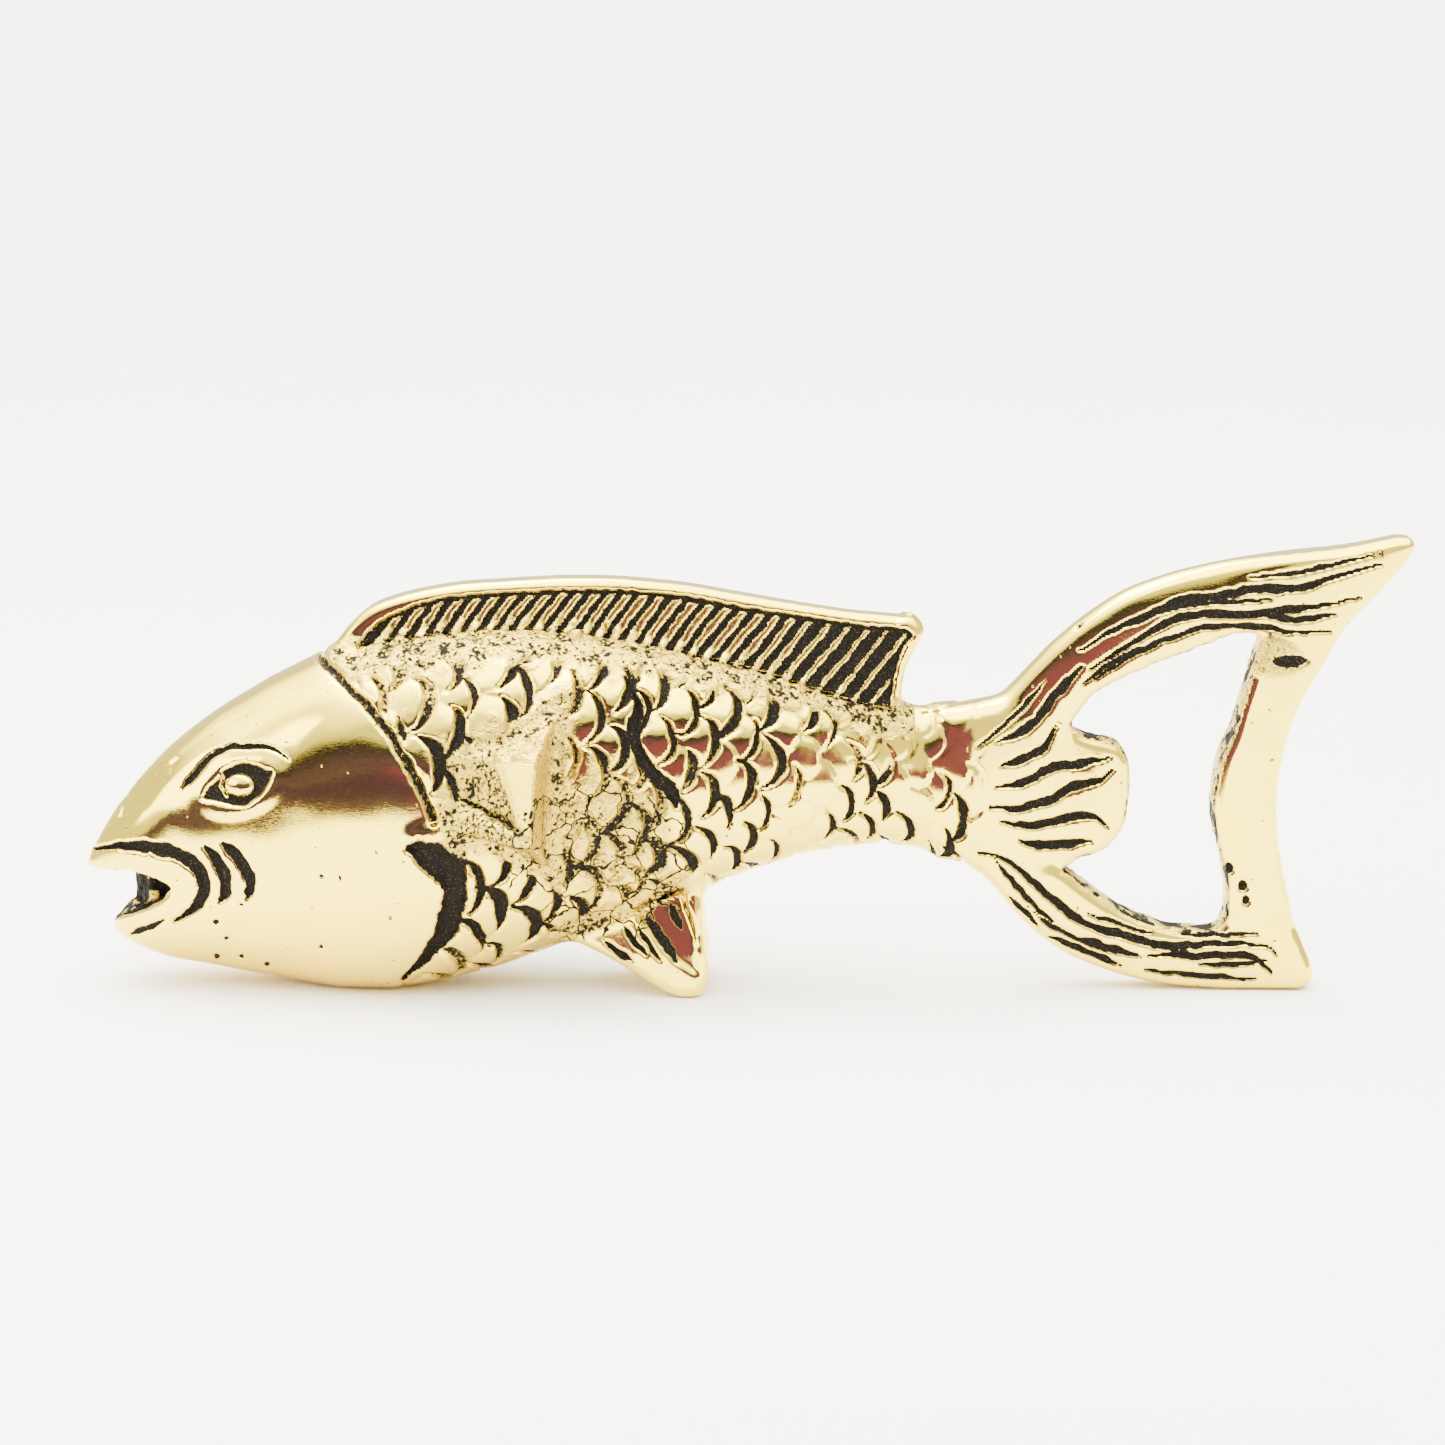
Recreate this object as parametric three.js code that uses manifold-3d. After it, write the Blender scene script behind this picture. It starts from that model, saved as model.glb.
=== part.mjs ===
// Souvenir bottle opener cast in brass as a fish whose tail is the opener.
//
// Millimetres, +Z up. The fish looks towards -X and stands on its belly, its two pelvic fins and the
// lower tail lobe, all at z = 0. Its left side is -Y. The origin is on the ground below the middle of
// its length. The casting is divided at its gill line, fin roots and tail root, with one narrow seam
// between neighbours.
import * as THREE from "three";
import { ConvexGeometry } from "three/addons/geometries/ConvexGeometry.js";
import { mergeVertices } from "three/addons/utils/BufferGeometryUtils.js";
import Module from "manifold-3d";

// ---- Driving dimensions ----
const bodyLength = 97; // lips to tail root
const bodyDepth = 41.3; // ground to the highest point of the back
const bodyWidth = 25; // across the gill covers
const tailLength = 50; // tail root to the tip of the upper lobe
const tailHeight = 51.6; // ground to the tip of the upper lobe
const tailThickness = 5.6;
const tailEdgeRound = 1.3; // bevel along the tail's edges
const capGap = 9.2; // tongue tip to lifting bar, where a crown cap's edge goes in
const barWidth = 7.2; // the lifting bar, fore and aft
const rootWidth = 7.2; // the trunk's width where it meets the tail
const dorsalRise = 5.2; // the dorsal fin above the highest point of the back
const dorsalThickness = 4.4;
const dorsalEdgeRound = 0.9;
const finInset = 4; // how deep a fin's outline starts inside the body before it is trimmed
const pectoralReach = 4.6; // the pectoral fin's crest above the body's side
const pelvicStance = 5.6; // mid-plane to the middle of each pelvic fin's foot
const pelvicFootWidth = 3.4;
const pelvicFootLength = 4;
const pelvicRootWidth = 7;
const eyeRadius = 1.55;
const eyeRise = 0.5; // the eye's dome above the head's surface
const eyeSocketDepth = 0.9;
const eyeSocketMargin = 0.9; // the ring of clear space around the eye
const seam = 0.3; // between neighbouring pieces
const footTrim = 0.2; // how far the belly and feet are filed down to stand level

const fullness = 2.25; // of the body's section: 2 is an ellipse, more is squarer

// ---- Fineness ----
const stations = 44; // along the body
const around = 32; // around the body
const curveSteps = 3; // straight steps for each point of an outline
const bevelSteps = 2;

// Outlines are drawn for these sizes and stretch with the driving dimensions.
const drawnBody = { length: 97, depth: 41.3, width: 25, dorsalRise: 5.2 };
const drawnTail = { length: 50, height: 51.6 };

const brassLook = { color: 0xd8b56a, roughness: 0.22, metalness: 1 };
const lipsX = -(bodyLength + tailLength) / 2;
const tailRootX = lipsX + bodyLength;
const wide = 4 * bodyWidth; // wider than anything in the part

const wasm = await Module();
wasm.setup();

// ---- From three.js geometry to solids and back ----
function solid(geometry) {
  const bare = geometry.index ? geometry.toNonIndexed() : geometry.clone();
  bare.deleteAttribute("normal");
  bare.deleteAttribute("uv");
  const merged = mergeVertices(bare, 1e-4);
  return new wasm.Manifold(
    new wasm.Mesh({
      numProp: 3,
      vertProperties: merged.attributes.position.array,
      triVerts: new Uint32Array(merged.index.array),
    }),
  );
}

function geometryOf(manifold) {
  const mesh = manifold.getMesh();
  const geometry = new THREE.BufferGeometry();
  geometry.setAttribute("position", new THREE.BufferAttribute(mesh.vertProperties, 3));
  geometry.setIndex(new THREE.BufferAttribute(mesh.triVerts, 1));
  geometry.computeVertexNormals();
  return geometry;
}

function piece(name, manifold) {
  const mesh = new THREE.Mesh(geometryOf(manifold), new THREE.MeshStandardMaterial(brassLook));
  mesh.name = name;
  return mesh;
}

// A side-view shape in x and z, given thickness across the mid-plane.
function plate(shape, thickness, edgeRound = 0) {
  const geometry = new THREE.ExtrudeGeometry(shape, {
    depth: thickness - 2 * edgeRound,
    curveSegments: curveSteps,
    bevelEnabled: edgeRound > 0,
    bevelThickness: edgeRound,
    bevelSize: edgeRound,
    bevelOffset: -edgeRound,
    bevelSegments: bevelSteps,
  });
  geometry.translate(0, 0, edgeRound - thickness / 2);
  geometry.rotateX(Math.PI / 2);
  return solid(geometry);
}

// ---- Curves ----
const point = (x, z) => new THREE.Vector2(x, z);

// A smooth curve through [station, value] pairs, read at any station between them.
function profile(pairs) {
  const curve = new THREE.SplineCurve(pairs.map(([s, v]) => point(s, v)));
  const samples = curve.getPoints(pairs.length * 16);
  return (station) => {
    const after = samples.findIndex((p) => p.x >= station);
    if (after < 0) return samples.at(-1).y;
    if (after === 0) return samples[0].y;
    const [a, b] = [samples[after - 1], samples[after]];
    return a.y + ((b.y - a.y) * (station - a.x)) / (b.x - a.x);
  };
}

// Stations run from the lips, and heights from the ground, both as drawn.
const backLine = profile([
  [0, 15.9], [2, 19.3], [4, 22.5], [7, 26.5], [10, 29.4], [14, 32.4], [18.5, 34.9], [23, 36.9],
  [28, 38.9], [34, 40.2], [42, 41.1], [50, 41.3], [60, 40.3], [68, 38.6], [75, 36.9], [82, 35],
  [89, 33.2], [97, 32.3],
]);
const bellyLine = profile([
  [0, 12.4], [3, 6.7], [4.5, 5.4], [6.5, 4.3], [9, 3.5], [14, 2.6], [18.5, 1.7], [23, 0.8],
  [28, 0], [31, 0], [35, 0.1], [40, 0.7], [44, 1.7], [48, 2.9], [54, 5.3], [62, 8.4],
  [69, 11.2], [75, 13.6], [82, 15.7], [89, 16.4], [93, 16.2], [97, 15],
]);
const girth = profile([
  [0, 5], [4, 9.5], [9, 14], [15, 17.6], [22, 21], [30, 23.8], [38, 25], [46, 24.8],
  [56, 22.6], [66, 18.8], [76, 14.6], [86, 10.4], [92, 8.4], [97, 7.2],
]);

const bodyX = (station) => lipsX + (station * bodyLength) / drawnBody.length;
const bodyZ = (height) => (height * bodyDepth) / drawnBody.depth;
const tailX = (station) => tailRootX + (station * tailLength) / drawnTail.length;

// The body's width eases from the drawn girth into the tail root's own width.
function bodyHalfWidth(station) {
  const drawn = (girth(station) * bodyWidth) / drawnBody.width;
  const ease = THREE.MathUtils.smoothstep(station, 0.8 * drawnBody.length, drawnBody.length);
  return THREE.MathUtils.lerp(drawn, rootWidth, ease) / 2;
}

// A point of the body's skin, or of a skin held off it by clear. The section is a superellipse.
function bodyPoint(station, angle, clear = 0) {
  const power = 2 / fullness;
  const top = bodyZ(backLine(station)) + clear;
  const bottom = bodyZ(bellyLine(station)) - clear;
  const c = Math.cos(angle);
  const s = Math.sin(angle);
  const half = (top - bottom) / 2;
  return new THREE.Vector3(
    bodyX(station),
    (bodyHalfWidth(station) + clear) * Math.sign(c) * Math.abs(c) ** power,
    (top + bottom) / 2 + half * Math.sign(s) * Math.abs(s) ** power,
  );
}

// The whole body as one closed loft, from the lips to the tail root.
function bodyLoft(clear = 0) {
  const geometry = new THREE.CylinderGeometry(1, 1, 1, around, stations);
  const places = geometry.getAttribute("position");
  for (let i = 0; i < places.count; i++) {
    const [x, y, z] = [places.getX(i), places.getY(i), places.getZ(i)];
    const share = 0.5 - y;
    const station = drawnBody.length * share ** 1.25; // closer together at the snout
    const skin = bodyPoint(station, Math.atan2(z, x), clear);
    if (Math.hypot(x, z) < 0.5) {
      skin.y = 0; // the middle of an end cap
      skin.z = bodyZ((backLine(station) + bellyLine(station)) / 2);
    }
    places.setXYZ(i, skin.x, skin.y, skin.z);
  }
  return solid(geometry);
}

// Where the body's side is at a station and height, and which way it faces there. side is -1 or 1.
function onBody(station, height, side) {
  const middle = (backLine(station) + bellyLine(station)) / 2;
  const half = (backLine(station) - bellyLine(station)) / 2;
  const lift = THREE.MathUtils.clamp((height - middle) / half, -1, 1);
  const angle = Math.asin(Math.sign(lift) * Math.abs(lift) ** (fullness / 2));
  const step = 0.02;
  const place = bodyPoint(station, angle);
  const forward = bodyPoint(station + 1, angle).sub(bodyPoint(station - 1, angle));
  const upward = bodyPoint(station, angle + step).sub(bodyPoint(station, angle - step));
  const normal = upward.cross(forward).normalize();
  if (normal.y < 0) normal.negate();
  place.y *= side;
  normal.y *= side;
  return { place, normal };
}

// A narrow band along a line of side-view points, cut right through the part.
function kerf(points) {
  const line = new THREE.SplineCurve(points);
  const count = points.length * curveSteps;
  const edge = (side) =>
    Array.from({ length: count + 1 }, (_, i) => {
      const ahead = line.getTangent(i / count);
      return line.getPoint(i / count).add(point(-ahead.y, ahead.x).multiplyScalar((side * seam) / 2));
    });
  return plate(new THREE.Shape([...edge(-1), ...edge(1).reverse()]), wide);
}

const aboveGround = () => {
  const geometry = new THREE.BoxGeometry(wide * 4, wide, wide);
  geometry.translate(0, 0, wide / 2);
  return solid(geometry);
};

// ---- Head and trunk ----
function mouthNotch() {
  const lips = [
    [-3, 13.4], [4.5, 13.7], [7.5, 13.4], [9.6, 12.8], [10.4, 12.1],
    [9.4, 11.1], [6.6, 9.6], [3.2, 7.8], [2.4, 5], [-3, 3],
  ];
  return plate(new THREE.Shape(lips.map(([s, h]) => point(bodyX(s), bodyZ(h)))), wide);
}

function gillLine() {
  const line = [
    [23, 44], [25.9, 38.6], [31.4, 33.9], [36.2, 26.4], [39, 18.6], [40, 12], [38.6, 5], [34, -3],
  ];
  return line.map(([s, h]) => point(bodyX(s), bodyZ(h)));
}

function headAndTrunk() {
  const grounded = bodyLoft().translate([0, 0, -footTrim]).intersect(aboveGround());
  const halves = grounded.subtract(kerf(gillLine())).decompose();
  halves.sort((a, b) => a.boundingBox().min[0] - b.boundingBox().min[0]);
  return { head: halves[0].subtract(mouthNotch()), trunk: halves[1] };
}

// ---- Eyes: each is a low dome in a round socket ----
const eyePlace = { station: 17.1, height: 24.4 };

function eyeLathe(radius, low, high) {
  const profilePoints = [point(0, low), point(radius, low), point(radius, high - eyeRise)];
  for (let i = 1; i < 5; i++) {
    const turn = (i / 5) * (Math.PI / 2);
    profilePoints.push(point(radius * Math.cos(turn), high - eyeRise * (1 - Math.sin(turn))));
  }
  profilePoints.push(point(0, high));
  return new THREE.LatheGeometry(profilePoints, 24);
}

function atEye(geometry, side) {
  const { place, normal } = onBody(eyePlace.station, eyePlace.height, side);
  const turn = new THREE.Quaternion().setFromUnitVectors(new THREE.Vector3(0, 1, 0), normal);
  return solid(geometry.applyQuaternion(turn).translate(place.x, place.y, place.z - footTrim));
}

const eye = (side) => atEye(eyeLathe(eyeRadius, seam - eyeSocketDepth, eyeRise), side);

function eyeSocket(side) {
  const reach = eyeSocketDepth + 3 * eyeRise;
  const geometry = new THREE.CylinderGeometry(
    eyeRadius + eyeSocketMargin, eyeRadius + eyeSocketMargin, reach, 24,
  );
  return atEye(geometry.translate(0, reach / 2 - eyeSocketDepth, 0), side);
}

// ---- Dorsal fin ----
function dorsalFin(bodyWithSeam) {
  const start = 27.3;
  const end = 91;
  const onBack = (s, rise) => point(bodyX(s), bodyZ(backLine(s)) + (rise * dorsalRise) / drawnBody.dorsalRise - footTrim);
  const shape = new THREE.Shape();
  shape.moveTo(...onBack(start, -finInset).toArray());
  shape.lineTo(...onBack(start, 0.6).toArray());
  shape.splineThru([
    onBack(30.5, 3.2), onBack(34, 4.4), onBack(42, 4.8), onBack(54, 5.3), onBack(67, 6.7),
    onBack(80, 7.9), onBack(end - 0.4, 9),
  ]);
  shape.lineTo(...onBack(end + 1.8, 7.6).toArray());
  shape.lineTo(...onBack(end - 0.2, 1).toArray());
  shape.lineTo(...onBack(end - 1, -finInset).toArray());
  return plate(shape, dorsalThickness, dorsalEdgeRound).subtract(bodyWithSeam);
}

// ---- Pectoral fins: a wedge that rises from the gill cover to a filed crest ----
function pectoralFin(side, bodyWithSeam) {
  const corner = ([s, h, rise]) => {
    const { place } = onBody(s, h, side);
    return place.add(new THREE.Vector3(0, side * rise, -footTrim));
  };
  const root = [[41.5, 29], [44, 30.4], [51.6, 29.6], [52.2, 20.4], [49.5, 17], [42, 21.6]];
  const crest = [[45.6, 28], [50.2, 28.8], [50.6, 26.6], [49.6, 20], [48.6, 20.8]];
  const corners = [
    ...root.map(([s, h]) => corner([s, h, -finInset])),
    ...root.map(([s, h]) => corner([s, h, seam])),
    ...crest.map(([s, h]) => corner([s, h, pectoralReach])),
  ];
  return solid(new ConvexGeometry(corners)).subtract(bodyWithSeam);
}

// ---- Pelvic fins: splayed blades that end in a flat foot ----
function pelvicFin(side, bodyWithSeam) {
  const footEnd = 69.2;
  const footStart = footEnd - pelvicFootLength;
  const footBack = footEnd - 0.6; // the foot's heel is rounded up behind the flat
  const ankle = pelvicStance - 0.2;
  const rootMiddle = (seam + pelvicRootWidth) / 2;
  const belly = (station) => bodyZ(bellyLine(station));
  // [station, height, middle, width] of each level of the fin
  const levels = [
    [footStart, -footTrim, pelvicStance, pelvicFootWidth],
    [footBack, -footTrim, pelvicStance, pelvicFootWidth],
    [footStart - 1.2, 1, ankle, pelvicFootWidth],
    [footEnd, 1.2, ankle, pelvicFootWidth],
    [55.5, belly(55.5) + 0.4, rootMiddle, pelvicRootWidth],
    [60, belly(60) + finInset, rootMiddle, pelvicRootWidth],
    [68.2, belly(68.2) + finInset / 2, rootMiddle, pelvicRootWidth],
  ];
  const corners = levels.flatMap(([station, height, middle, width]) =>
    [Math.max(middle - width / 2, seam / 2), middle + width / 2].map(
      (y) => new THREE.Vector3(bodyX(station), side * y, height),
    ),
  );
  return solid(new ConvexGeometry(corners)).intersect(aboveGround()).subtract(bodyWithSeam);
}

// ---- Tail: two lobes, the lifting bar between their ends, and the tongue that faces it ----
// A tail point at a station behind the root and a height, both as drawn. Heights keep to the body's
// scale at the root and reach the tail's own scale a third of the way back.
function tailPoint(station, height) {
  const ease = THREE.MathUtils.smoothstep(station, 0, 0.35 * drawnTail.length);
  const ownHeight = (height * tailHeight) / drawnTail.height;
  return point(tailX(station), THREE.MathUtils.lerp(bodyZ(height) - footTrim, ownHeight, ease));
}

const tailPoints = (pairs) => pairs.map(([station, height]) => tailPoint(station, height));

// A point on the lifting bar's inner edge, bowed back from the edge's foremost place.
const barStation = 28.5;
const barPoint = (bow, height) => point(tailX(barStation) + bow, tailPoint(barStation, height).y);
const barBack = (bow, height) => barPoint(bow, height).add(point(barWidth, 0));

// A point on the tongue's edge, a share of the way from its root to its tip.
const tongueRoot = 13.8;
const tonguePoint = (share, height) =>
  tailPoint(tongueRoot, height).lerp(barPoint(0, height).sub(point(capGap, 0)), share);

function tailOutline() {
  const rootX = tailRootX + seam;
  const rootTop = point(rootX, tailPoint(0, backLine(drawnBody.length)).y);
  const rootBottom = point(rootX, tailPoint(0, bellyLine(drawnBody.length)).y);
  const toe = [40.2, 1.6];
  const tipFront = [48.4, 51.6];
  const tipBack = [49.9, 50.9];
  const shape = new THREE.Shape([rootTop, rootBottom]);
  shape.splineThru(tailPoints([
    [5.5, 10.8], [9.4, 7], [13.5, 4.2], [18.5, 2], [24, 0.7], [29.5, 0],
  ]));
  shape.lineTo(...tailPoint(38.6, 0).toArray());
  shape.lineTo(...tailPoint(...toe).toArray());
  shape.splineThru([
    barBack(2.3, 8), barBack(0.9, 14.5), barBack(0, 23), barBack(1.3, 31),
    ...tailPoints([[41.4, 39], [45.6, 45], [49.4, 49.2]]),
  ]);
  shape.lineTo(...tailPoint(...tipBack).toArray());
  shape.lineTo(...tailPoint(...tipFront).toArray());
  shape.splineThru(tailPoints([
    [44, 50.9], [36, 49.9], [26, 48.1], [18.3, 45.7], [13, 42.6], [8.3, 37.6], [4.6, 33.7],
  ]));
  shape.holes.push(openingOutline());
  return shape;
}

// The opening runs round the tongue, whose tip faces the lifting bar across the cap gap.
function openingOutline() {
  const start = [12.8, 30.6];
  const hole = new THREE.Path([tailPoint(...start)]);
  hole.splineThru(tailPoints([[14.6, 33], [17.6, 35.3], [22, 37.4], [27, 39.4], [31, 40.6]]));
  hole.splineThru([tailPoint(33, 40), barPoint(4, 38)]);
  hole.splineThru([
    barPoint(2.9, 33), barPoint(1, 27), barPoint(0, 22), barPoint(0.6, 17.5), barPoint(2, 11),
    barPoint(1.9, 8.2),
  ]);
  hole.splineThru(tailPoints([[28.6, 7], [25, 6.9], [21.6, 7.9], [17.6, 10], [tongueRoot, 12.9], [12.2, 13.9]]));
  hole.splineThru([
    tonguePoint(0, 14.8), tonguePoint(0.45, 15.4), tonguePoint(0.84, 18), tonguePoint(1, 22),
    tonguePoint(1, 25.6), tonguePoint(0.78, 28), tonguePoint(0.3, 28.8), tonguePoint(0, 29.6),
  ]);
  return hole;
}

// The whole tail is cut along four lines, and its pieces are told apart by where they lie.
function tailPieces() {
  const cuts = [
    [[-1, 27.4], [5, 28.2], [13.8, 31.1]], // between the upper lobe and the tongue
    [[-1, 17.4], [5, 16.4], [13.2, 13.8]], // between the lower lobe and the tongue
    [[30, 37], [36, 37.6], [44, 37.6]], // between the upper lobe and the bar
    [[28, 8.3], [34, 8.4], [42, 8.4]], // between the lower lobe and the bar
  ];
  const whole = plate(tailOutline(), tailThickness, tailEdgeRound);
  const parts = cuts.reduce((rest, line) => rest.subtract(kerf(tailPoints(line))), whole).decompose();
  const by = (place) => parts.toSorted((a, b) => place(a.boundingBox()) - place(b.boundingBox()));
  return {
    upper: by((box) => box.max[2]).at(-1),
    lower: by((box) => box.min[2])[0],
    tongue: by((box) => box.max[0])[0],
    bar: by((box) => box.min[0]).at(-1),
  };
}

// ---- Assembly ----
const fish = new THREE.Group();
const { head, trunk } = headAndTrunk();
const bodyWithSeam = bodyLoft(seam).translate([0, 0, -footTrim]);
const sides = { left: -1, right: 1 };

const socketedHead = Object.values(sides).reduce((rest, side) => rest.subtract(eyeSocket(side)), head);
fish.add(piece("head", socketedHead), piece("trunk", trunk));
fish.add(piece("dorsal_fin", dorsalFin(bodyWithSeam)));
for (const [word, side] of Object.entries(sides)) {
  fish.add(piece(`${word}_eye`, eye(side)));
  fish.add(piece(`${word}_pectoral_fin`, pectoralFin(side, bodyWithSeam)));
  fish.add(piece(`${word}_pelvic_fin`, pelvicFin(side, bodyWithSeam)));
}
const tail = tailPieces();
fish.add(piece("upper_tail_lobe", tail.upper), piece("lower_tail_lobe", tail.lower));
fish.add(piece("lifting_bar", tail.bar), piece("cap_tongue", tail.tongue));

export default fish;
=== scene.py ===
"""A souvenir bottle opener, cast in brass as a fish: its looks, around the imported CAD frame.

The casting is one field of distances: body, fins and tail melt into each other as cast metal does. The
field becomes one fine mesh, the mesh is chiselled (scales, fin rays, lips, gill line), and it is then
divided into the same regions as the frame's nodes.

Lengths are in millimetres of the fish: x from the lips, y across (its left side is negative), z from
the ground. in_frame() turns them into the frame's metres.
"""

import math

import bpy
import numpy as np
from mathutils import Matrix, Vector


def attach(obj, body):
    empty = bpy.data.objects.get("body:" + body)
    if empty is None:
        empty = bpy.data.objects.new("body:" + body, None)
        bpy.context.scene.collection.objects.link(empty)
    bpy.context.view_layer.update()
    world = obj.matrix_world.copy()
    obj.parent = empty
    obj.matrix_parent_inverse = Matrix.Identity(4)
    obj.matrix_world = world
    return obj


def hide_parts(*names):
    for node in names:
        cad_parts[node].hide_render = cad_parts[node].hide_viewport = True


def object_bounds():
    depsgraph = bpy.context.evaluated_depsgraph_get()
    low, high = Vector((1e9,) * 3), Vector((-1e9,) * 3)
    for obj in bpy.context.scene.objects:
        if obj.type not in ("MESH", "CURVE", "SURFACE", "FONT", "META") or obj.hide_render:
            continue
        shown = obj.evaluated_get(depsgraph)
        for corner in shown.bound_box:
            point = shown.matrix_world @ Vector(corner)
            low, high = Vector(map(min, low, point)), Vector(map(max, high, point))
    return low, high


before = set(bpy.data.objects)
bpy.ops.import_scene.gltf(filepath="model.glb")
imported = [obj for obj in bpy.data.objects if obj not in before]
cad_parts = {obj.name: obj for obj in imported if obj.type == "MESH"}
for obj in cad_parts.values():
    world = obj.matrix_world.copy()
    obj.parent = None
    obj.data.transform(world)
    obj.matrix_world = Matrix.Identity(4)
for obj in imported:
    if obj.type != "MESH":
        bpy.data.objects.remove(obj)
CAD_LOW, CAD_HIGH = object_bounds()

LENGTH = 147.0  # of the whole fish, so that one unit here is a 147th of the frame's length
UNIT = (CAD_HIGH.x - CAD_LOW.x) / LENGTH
SEED = 11

CELL = 0.24  # of the mesh, along and up
CELL_ACROSS = 0.34  # of the mesh, through the thickness


def in_frame(points):
    """Fish millimetres to the frame's metres."""
    points = np.asarray(points, float)
    return points * UNIT + np.array([CAD_LOW.x, (CAD_LOW.y + CAD_HIGH.y) / 2, CAD_LOW.z])


# ---------------------------------------------------------------- curves, noise and maps


def smooth_curve(points, steps=14):
    """A Catmull-Rom curve through given points, as a dense list of points."""
    p = np.array(points, float)
    p = np.vstack([2 * p[0] - p[1], p, 2 * p[-1] - p[-2]])
    t = np.linspace(0, 1, steps, endpoint=False)[:, None]
    spans = []
    for a, b, c, d in zip(p, p[1:], p[2:], p[3:]):
        squared = (2 * a - 5 * b + 4 * c - d) * t**2
        cubed = (3 * b - a - 3 * c + d) * t**3
        spans.append(0.5 * (2 * b + (c - a) * t + squared + cubed))
    return np.vstack([*spans, p[-2]])


def outline(*runs):
    """A closed outline: smooth along each run of points, with a corner where two runs meet."""
    return np.vstack([smooth_curve(run, 6) if len(run) > 2 else np.array(run, float) for run in runs])


def profile(pairs, softness=1.2):
    """A smooth function of x through [x, value] pairs."""
    line = smooth_curve(pairs)
    step = 0.25
    xs = np.arange(line[0, 0] - 12, line[-1, 0] + 12, step)
    values = np.interp(xs, line[:, 0], line[:, 1])
    reach = int(3 * softness / step)
    weights = np.exp(-0.5 * (np.arange(-reach, reach + 1) * step / softness) ** 2)
    soft = np.convolve(np.pad(values, reach, mode="edge"), weights / weights.sum(), mode="valid")
    return lambda x: np.interp(x, xs, soft)


def ease(low, high, x):
    """0 at low, 1 at high, and eased between them."""
    t = np.clip((x - low) / (high - low), 0, 1)
    return t * t * (3 - 2 * t)


def lattice(i, j, k, seed):
    """A repeatable number from 0 to 1 for each whole-numbered place."""
    h = i * 374761393 + j * 668265263 + k * 1274126177 + seed * 974711
    h = (h ^ (h >> 13)) * 1103515245
    return ((h ^ (h >> 16)) & 0xFFFF) / 65535.0


CORNERS = [(a, b, c) for a in (0, 1) for b in (0, 1) for c in (0, 1)]  # of a cell


def noise(x, y, z, size, seed):
    """Smooth noise from -1 to 1, whose lumps are about size across."""
    x, y, z = x / size, y / size, z / size
    i, j, k = (np.floor(v).astype(np.int64) for v in (x, y, z))
    u, v, w = (ease(0, 1, a - b) for a, b in ((x, i), (y, j), (z, k)))
    total = 0
    for a, b, c in CORNERS:
        weight = (u if a else 1 - u) * (v if b else 1 - v) * (w if c else 1 - w)
        total = total + weight * lattice(i + a, j + b, k + c, seed + SEED)
    return 2 * total - 1


def outline_distance(x, z, loop):
    """Distance to a closed outline in side view, negative inside."""
    nearest = np.full(np.broadcast(x, z).shape, 1e9)
    inside = np.zeros(nearest.shape, bool)
    for (ax, az), (bx, bz) in zip(loop, np.roll(loop, -1, axis=0)):
        ex, ez = bx - ax, bz - az
        size2 = ex * ex + ez * ez
        if size2 < 1e-12:
            continue
        wx, wz = x - ax, z - az
        t = np.clip((wx * ex + wz * ez) / size2, 0, 1)
        nearest = np.minimum(nearest, (wx - ex * t) ** 2 + (wz - ez * t) ** 2)
        above, below, left = wz >= 0, z < bz, ex * wz > ez * wx
        inside ^= (above & below & left) | (~above & ~below & ~left)
    return np.where(inside, -1, 1) * np.sqrt(nearest)


def line_distance(x, z, points):
    """Distance to an open line in side view, and how far along it the nearest place is, from 0 to 1."""
    points = np.asarray(points, float)
    nearest = np.full(x.shape, 1e9)
    along = np.zeros(x.shape)
    lengths = np.hypot(*np.diff(points, axis=0).T)
    starts = np.concatenate([[0], np.cumsum(lengths)])
    for (ax, az), (bx, bz), length, start in zip(points, points[1:], lengths, starts):
        if length < 1e-9:
            continue
        ex, ez = (bx - ax) / length, (bz - az) / length
        t = np.clip((x - ax) * ex + (z - az) * ez, 0, length)
        d = (x - ax - ex * t) ** 2 + (z - az - ez * t) ** 2
        closer = d < nearest
        nearest = np.where(closer, d, nearest)
        along = np.where(closer, (start + t) / starts[-1], along)
    return np.sqrt(nearest), along


def look_up(table, u, w):
    """A table's values between its places, u steps along its first side and w along its second."""
    u, w = np.clip(u, 0, table.shape[0] - 1.001), np.clip(w, 0, table.shape[1] - 1.001)
    i, k = u.astype(int), w.astype(int)
    u, w = u - i, w - k
    low = table[i, k] * (1 - u) + table[i + 1, k] * u
    high = table[i, k + 1] * (1 - u) + table[i + 1, k + 1] * u
    return low * (1 - w) + high * w


class SideMap:
    """Distances to a side-view outline, worked out once on a fine grid and then looked up."""

    STEP = 0.12

    def __init__(self, loop, margin=6.0):
        self.low = loop.min(0) - margin
        nx, nz = np.ceil((loop.max(0) + margin - self.low) / self.STEP).astype(int) + 2
        xs = self.low[0] + self.STEP * np.arange(nx)
        zs = self.low[1] + self.STEP * np.arange(nz)
        self.values = outline_distance(xs[:, None], zs[None, :], loop)

    def __call__(self, x, z):
        u, w = np.broadcast_arrays((x - self.low[0]) / self.STEP, (z - self.low[1]) / self.STEP)
        return look_up(self.values, u, w)


def melt(a, b, size):
    """Joins two distance fields with a fillet."""
    h = np.clip(0.5 + 0.5 * (b - a) / size, 0, 1)
    return b * (1 - h) + a * h - size * h * (1 - h)


def common(a, b, size):
    """The common part of two fields, with a rounded edge."""
    return -melt(-a, -b, size)


def carve(a, b, size):
    """The part of field a that is outside field b, with a rounded edge."""
    return -melt(-a, b, size)


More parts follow.
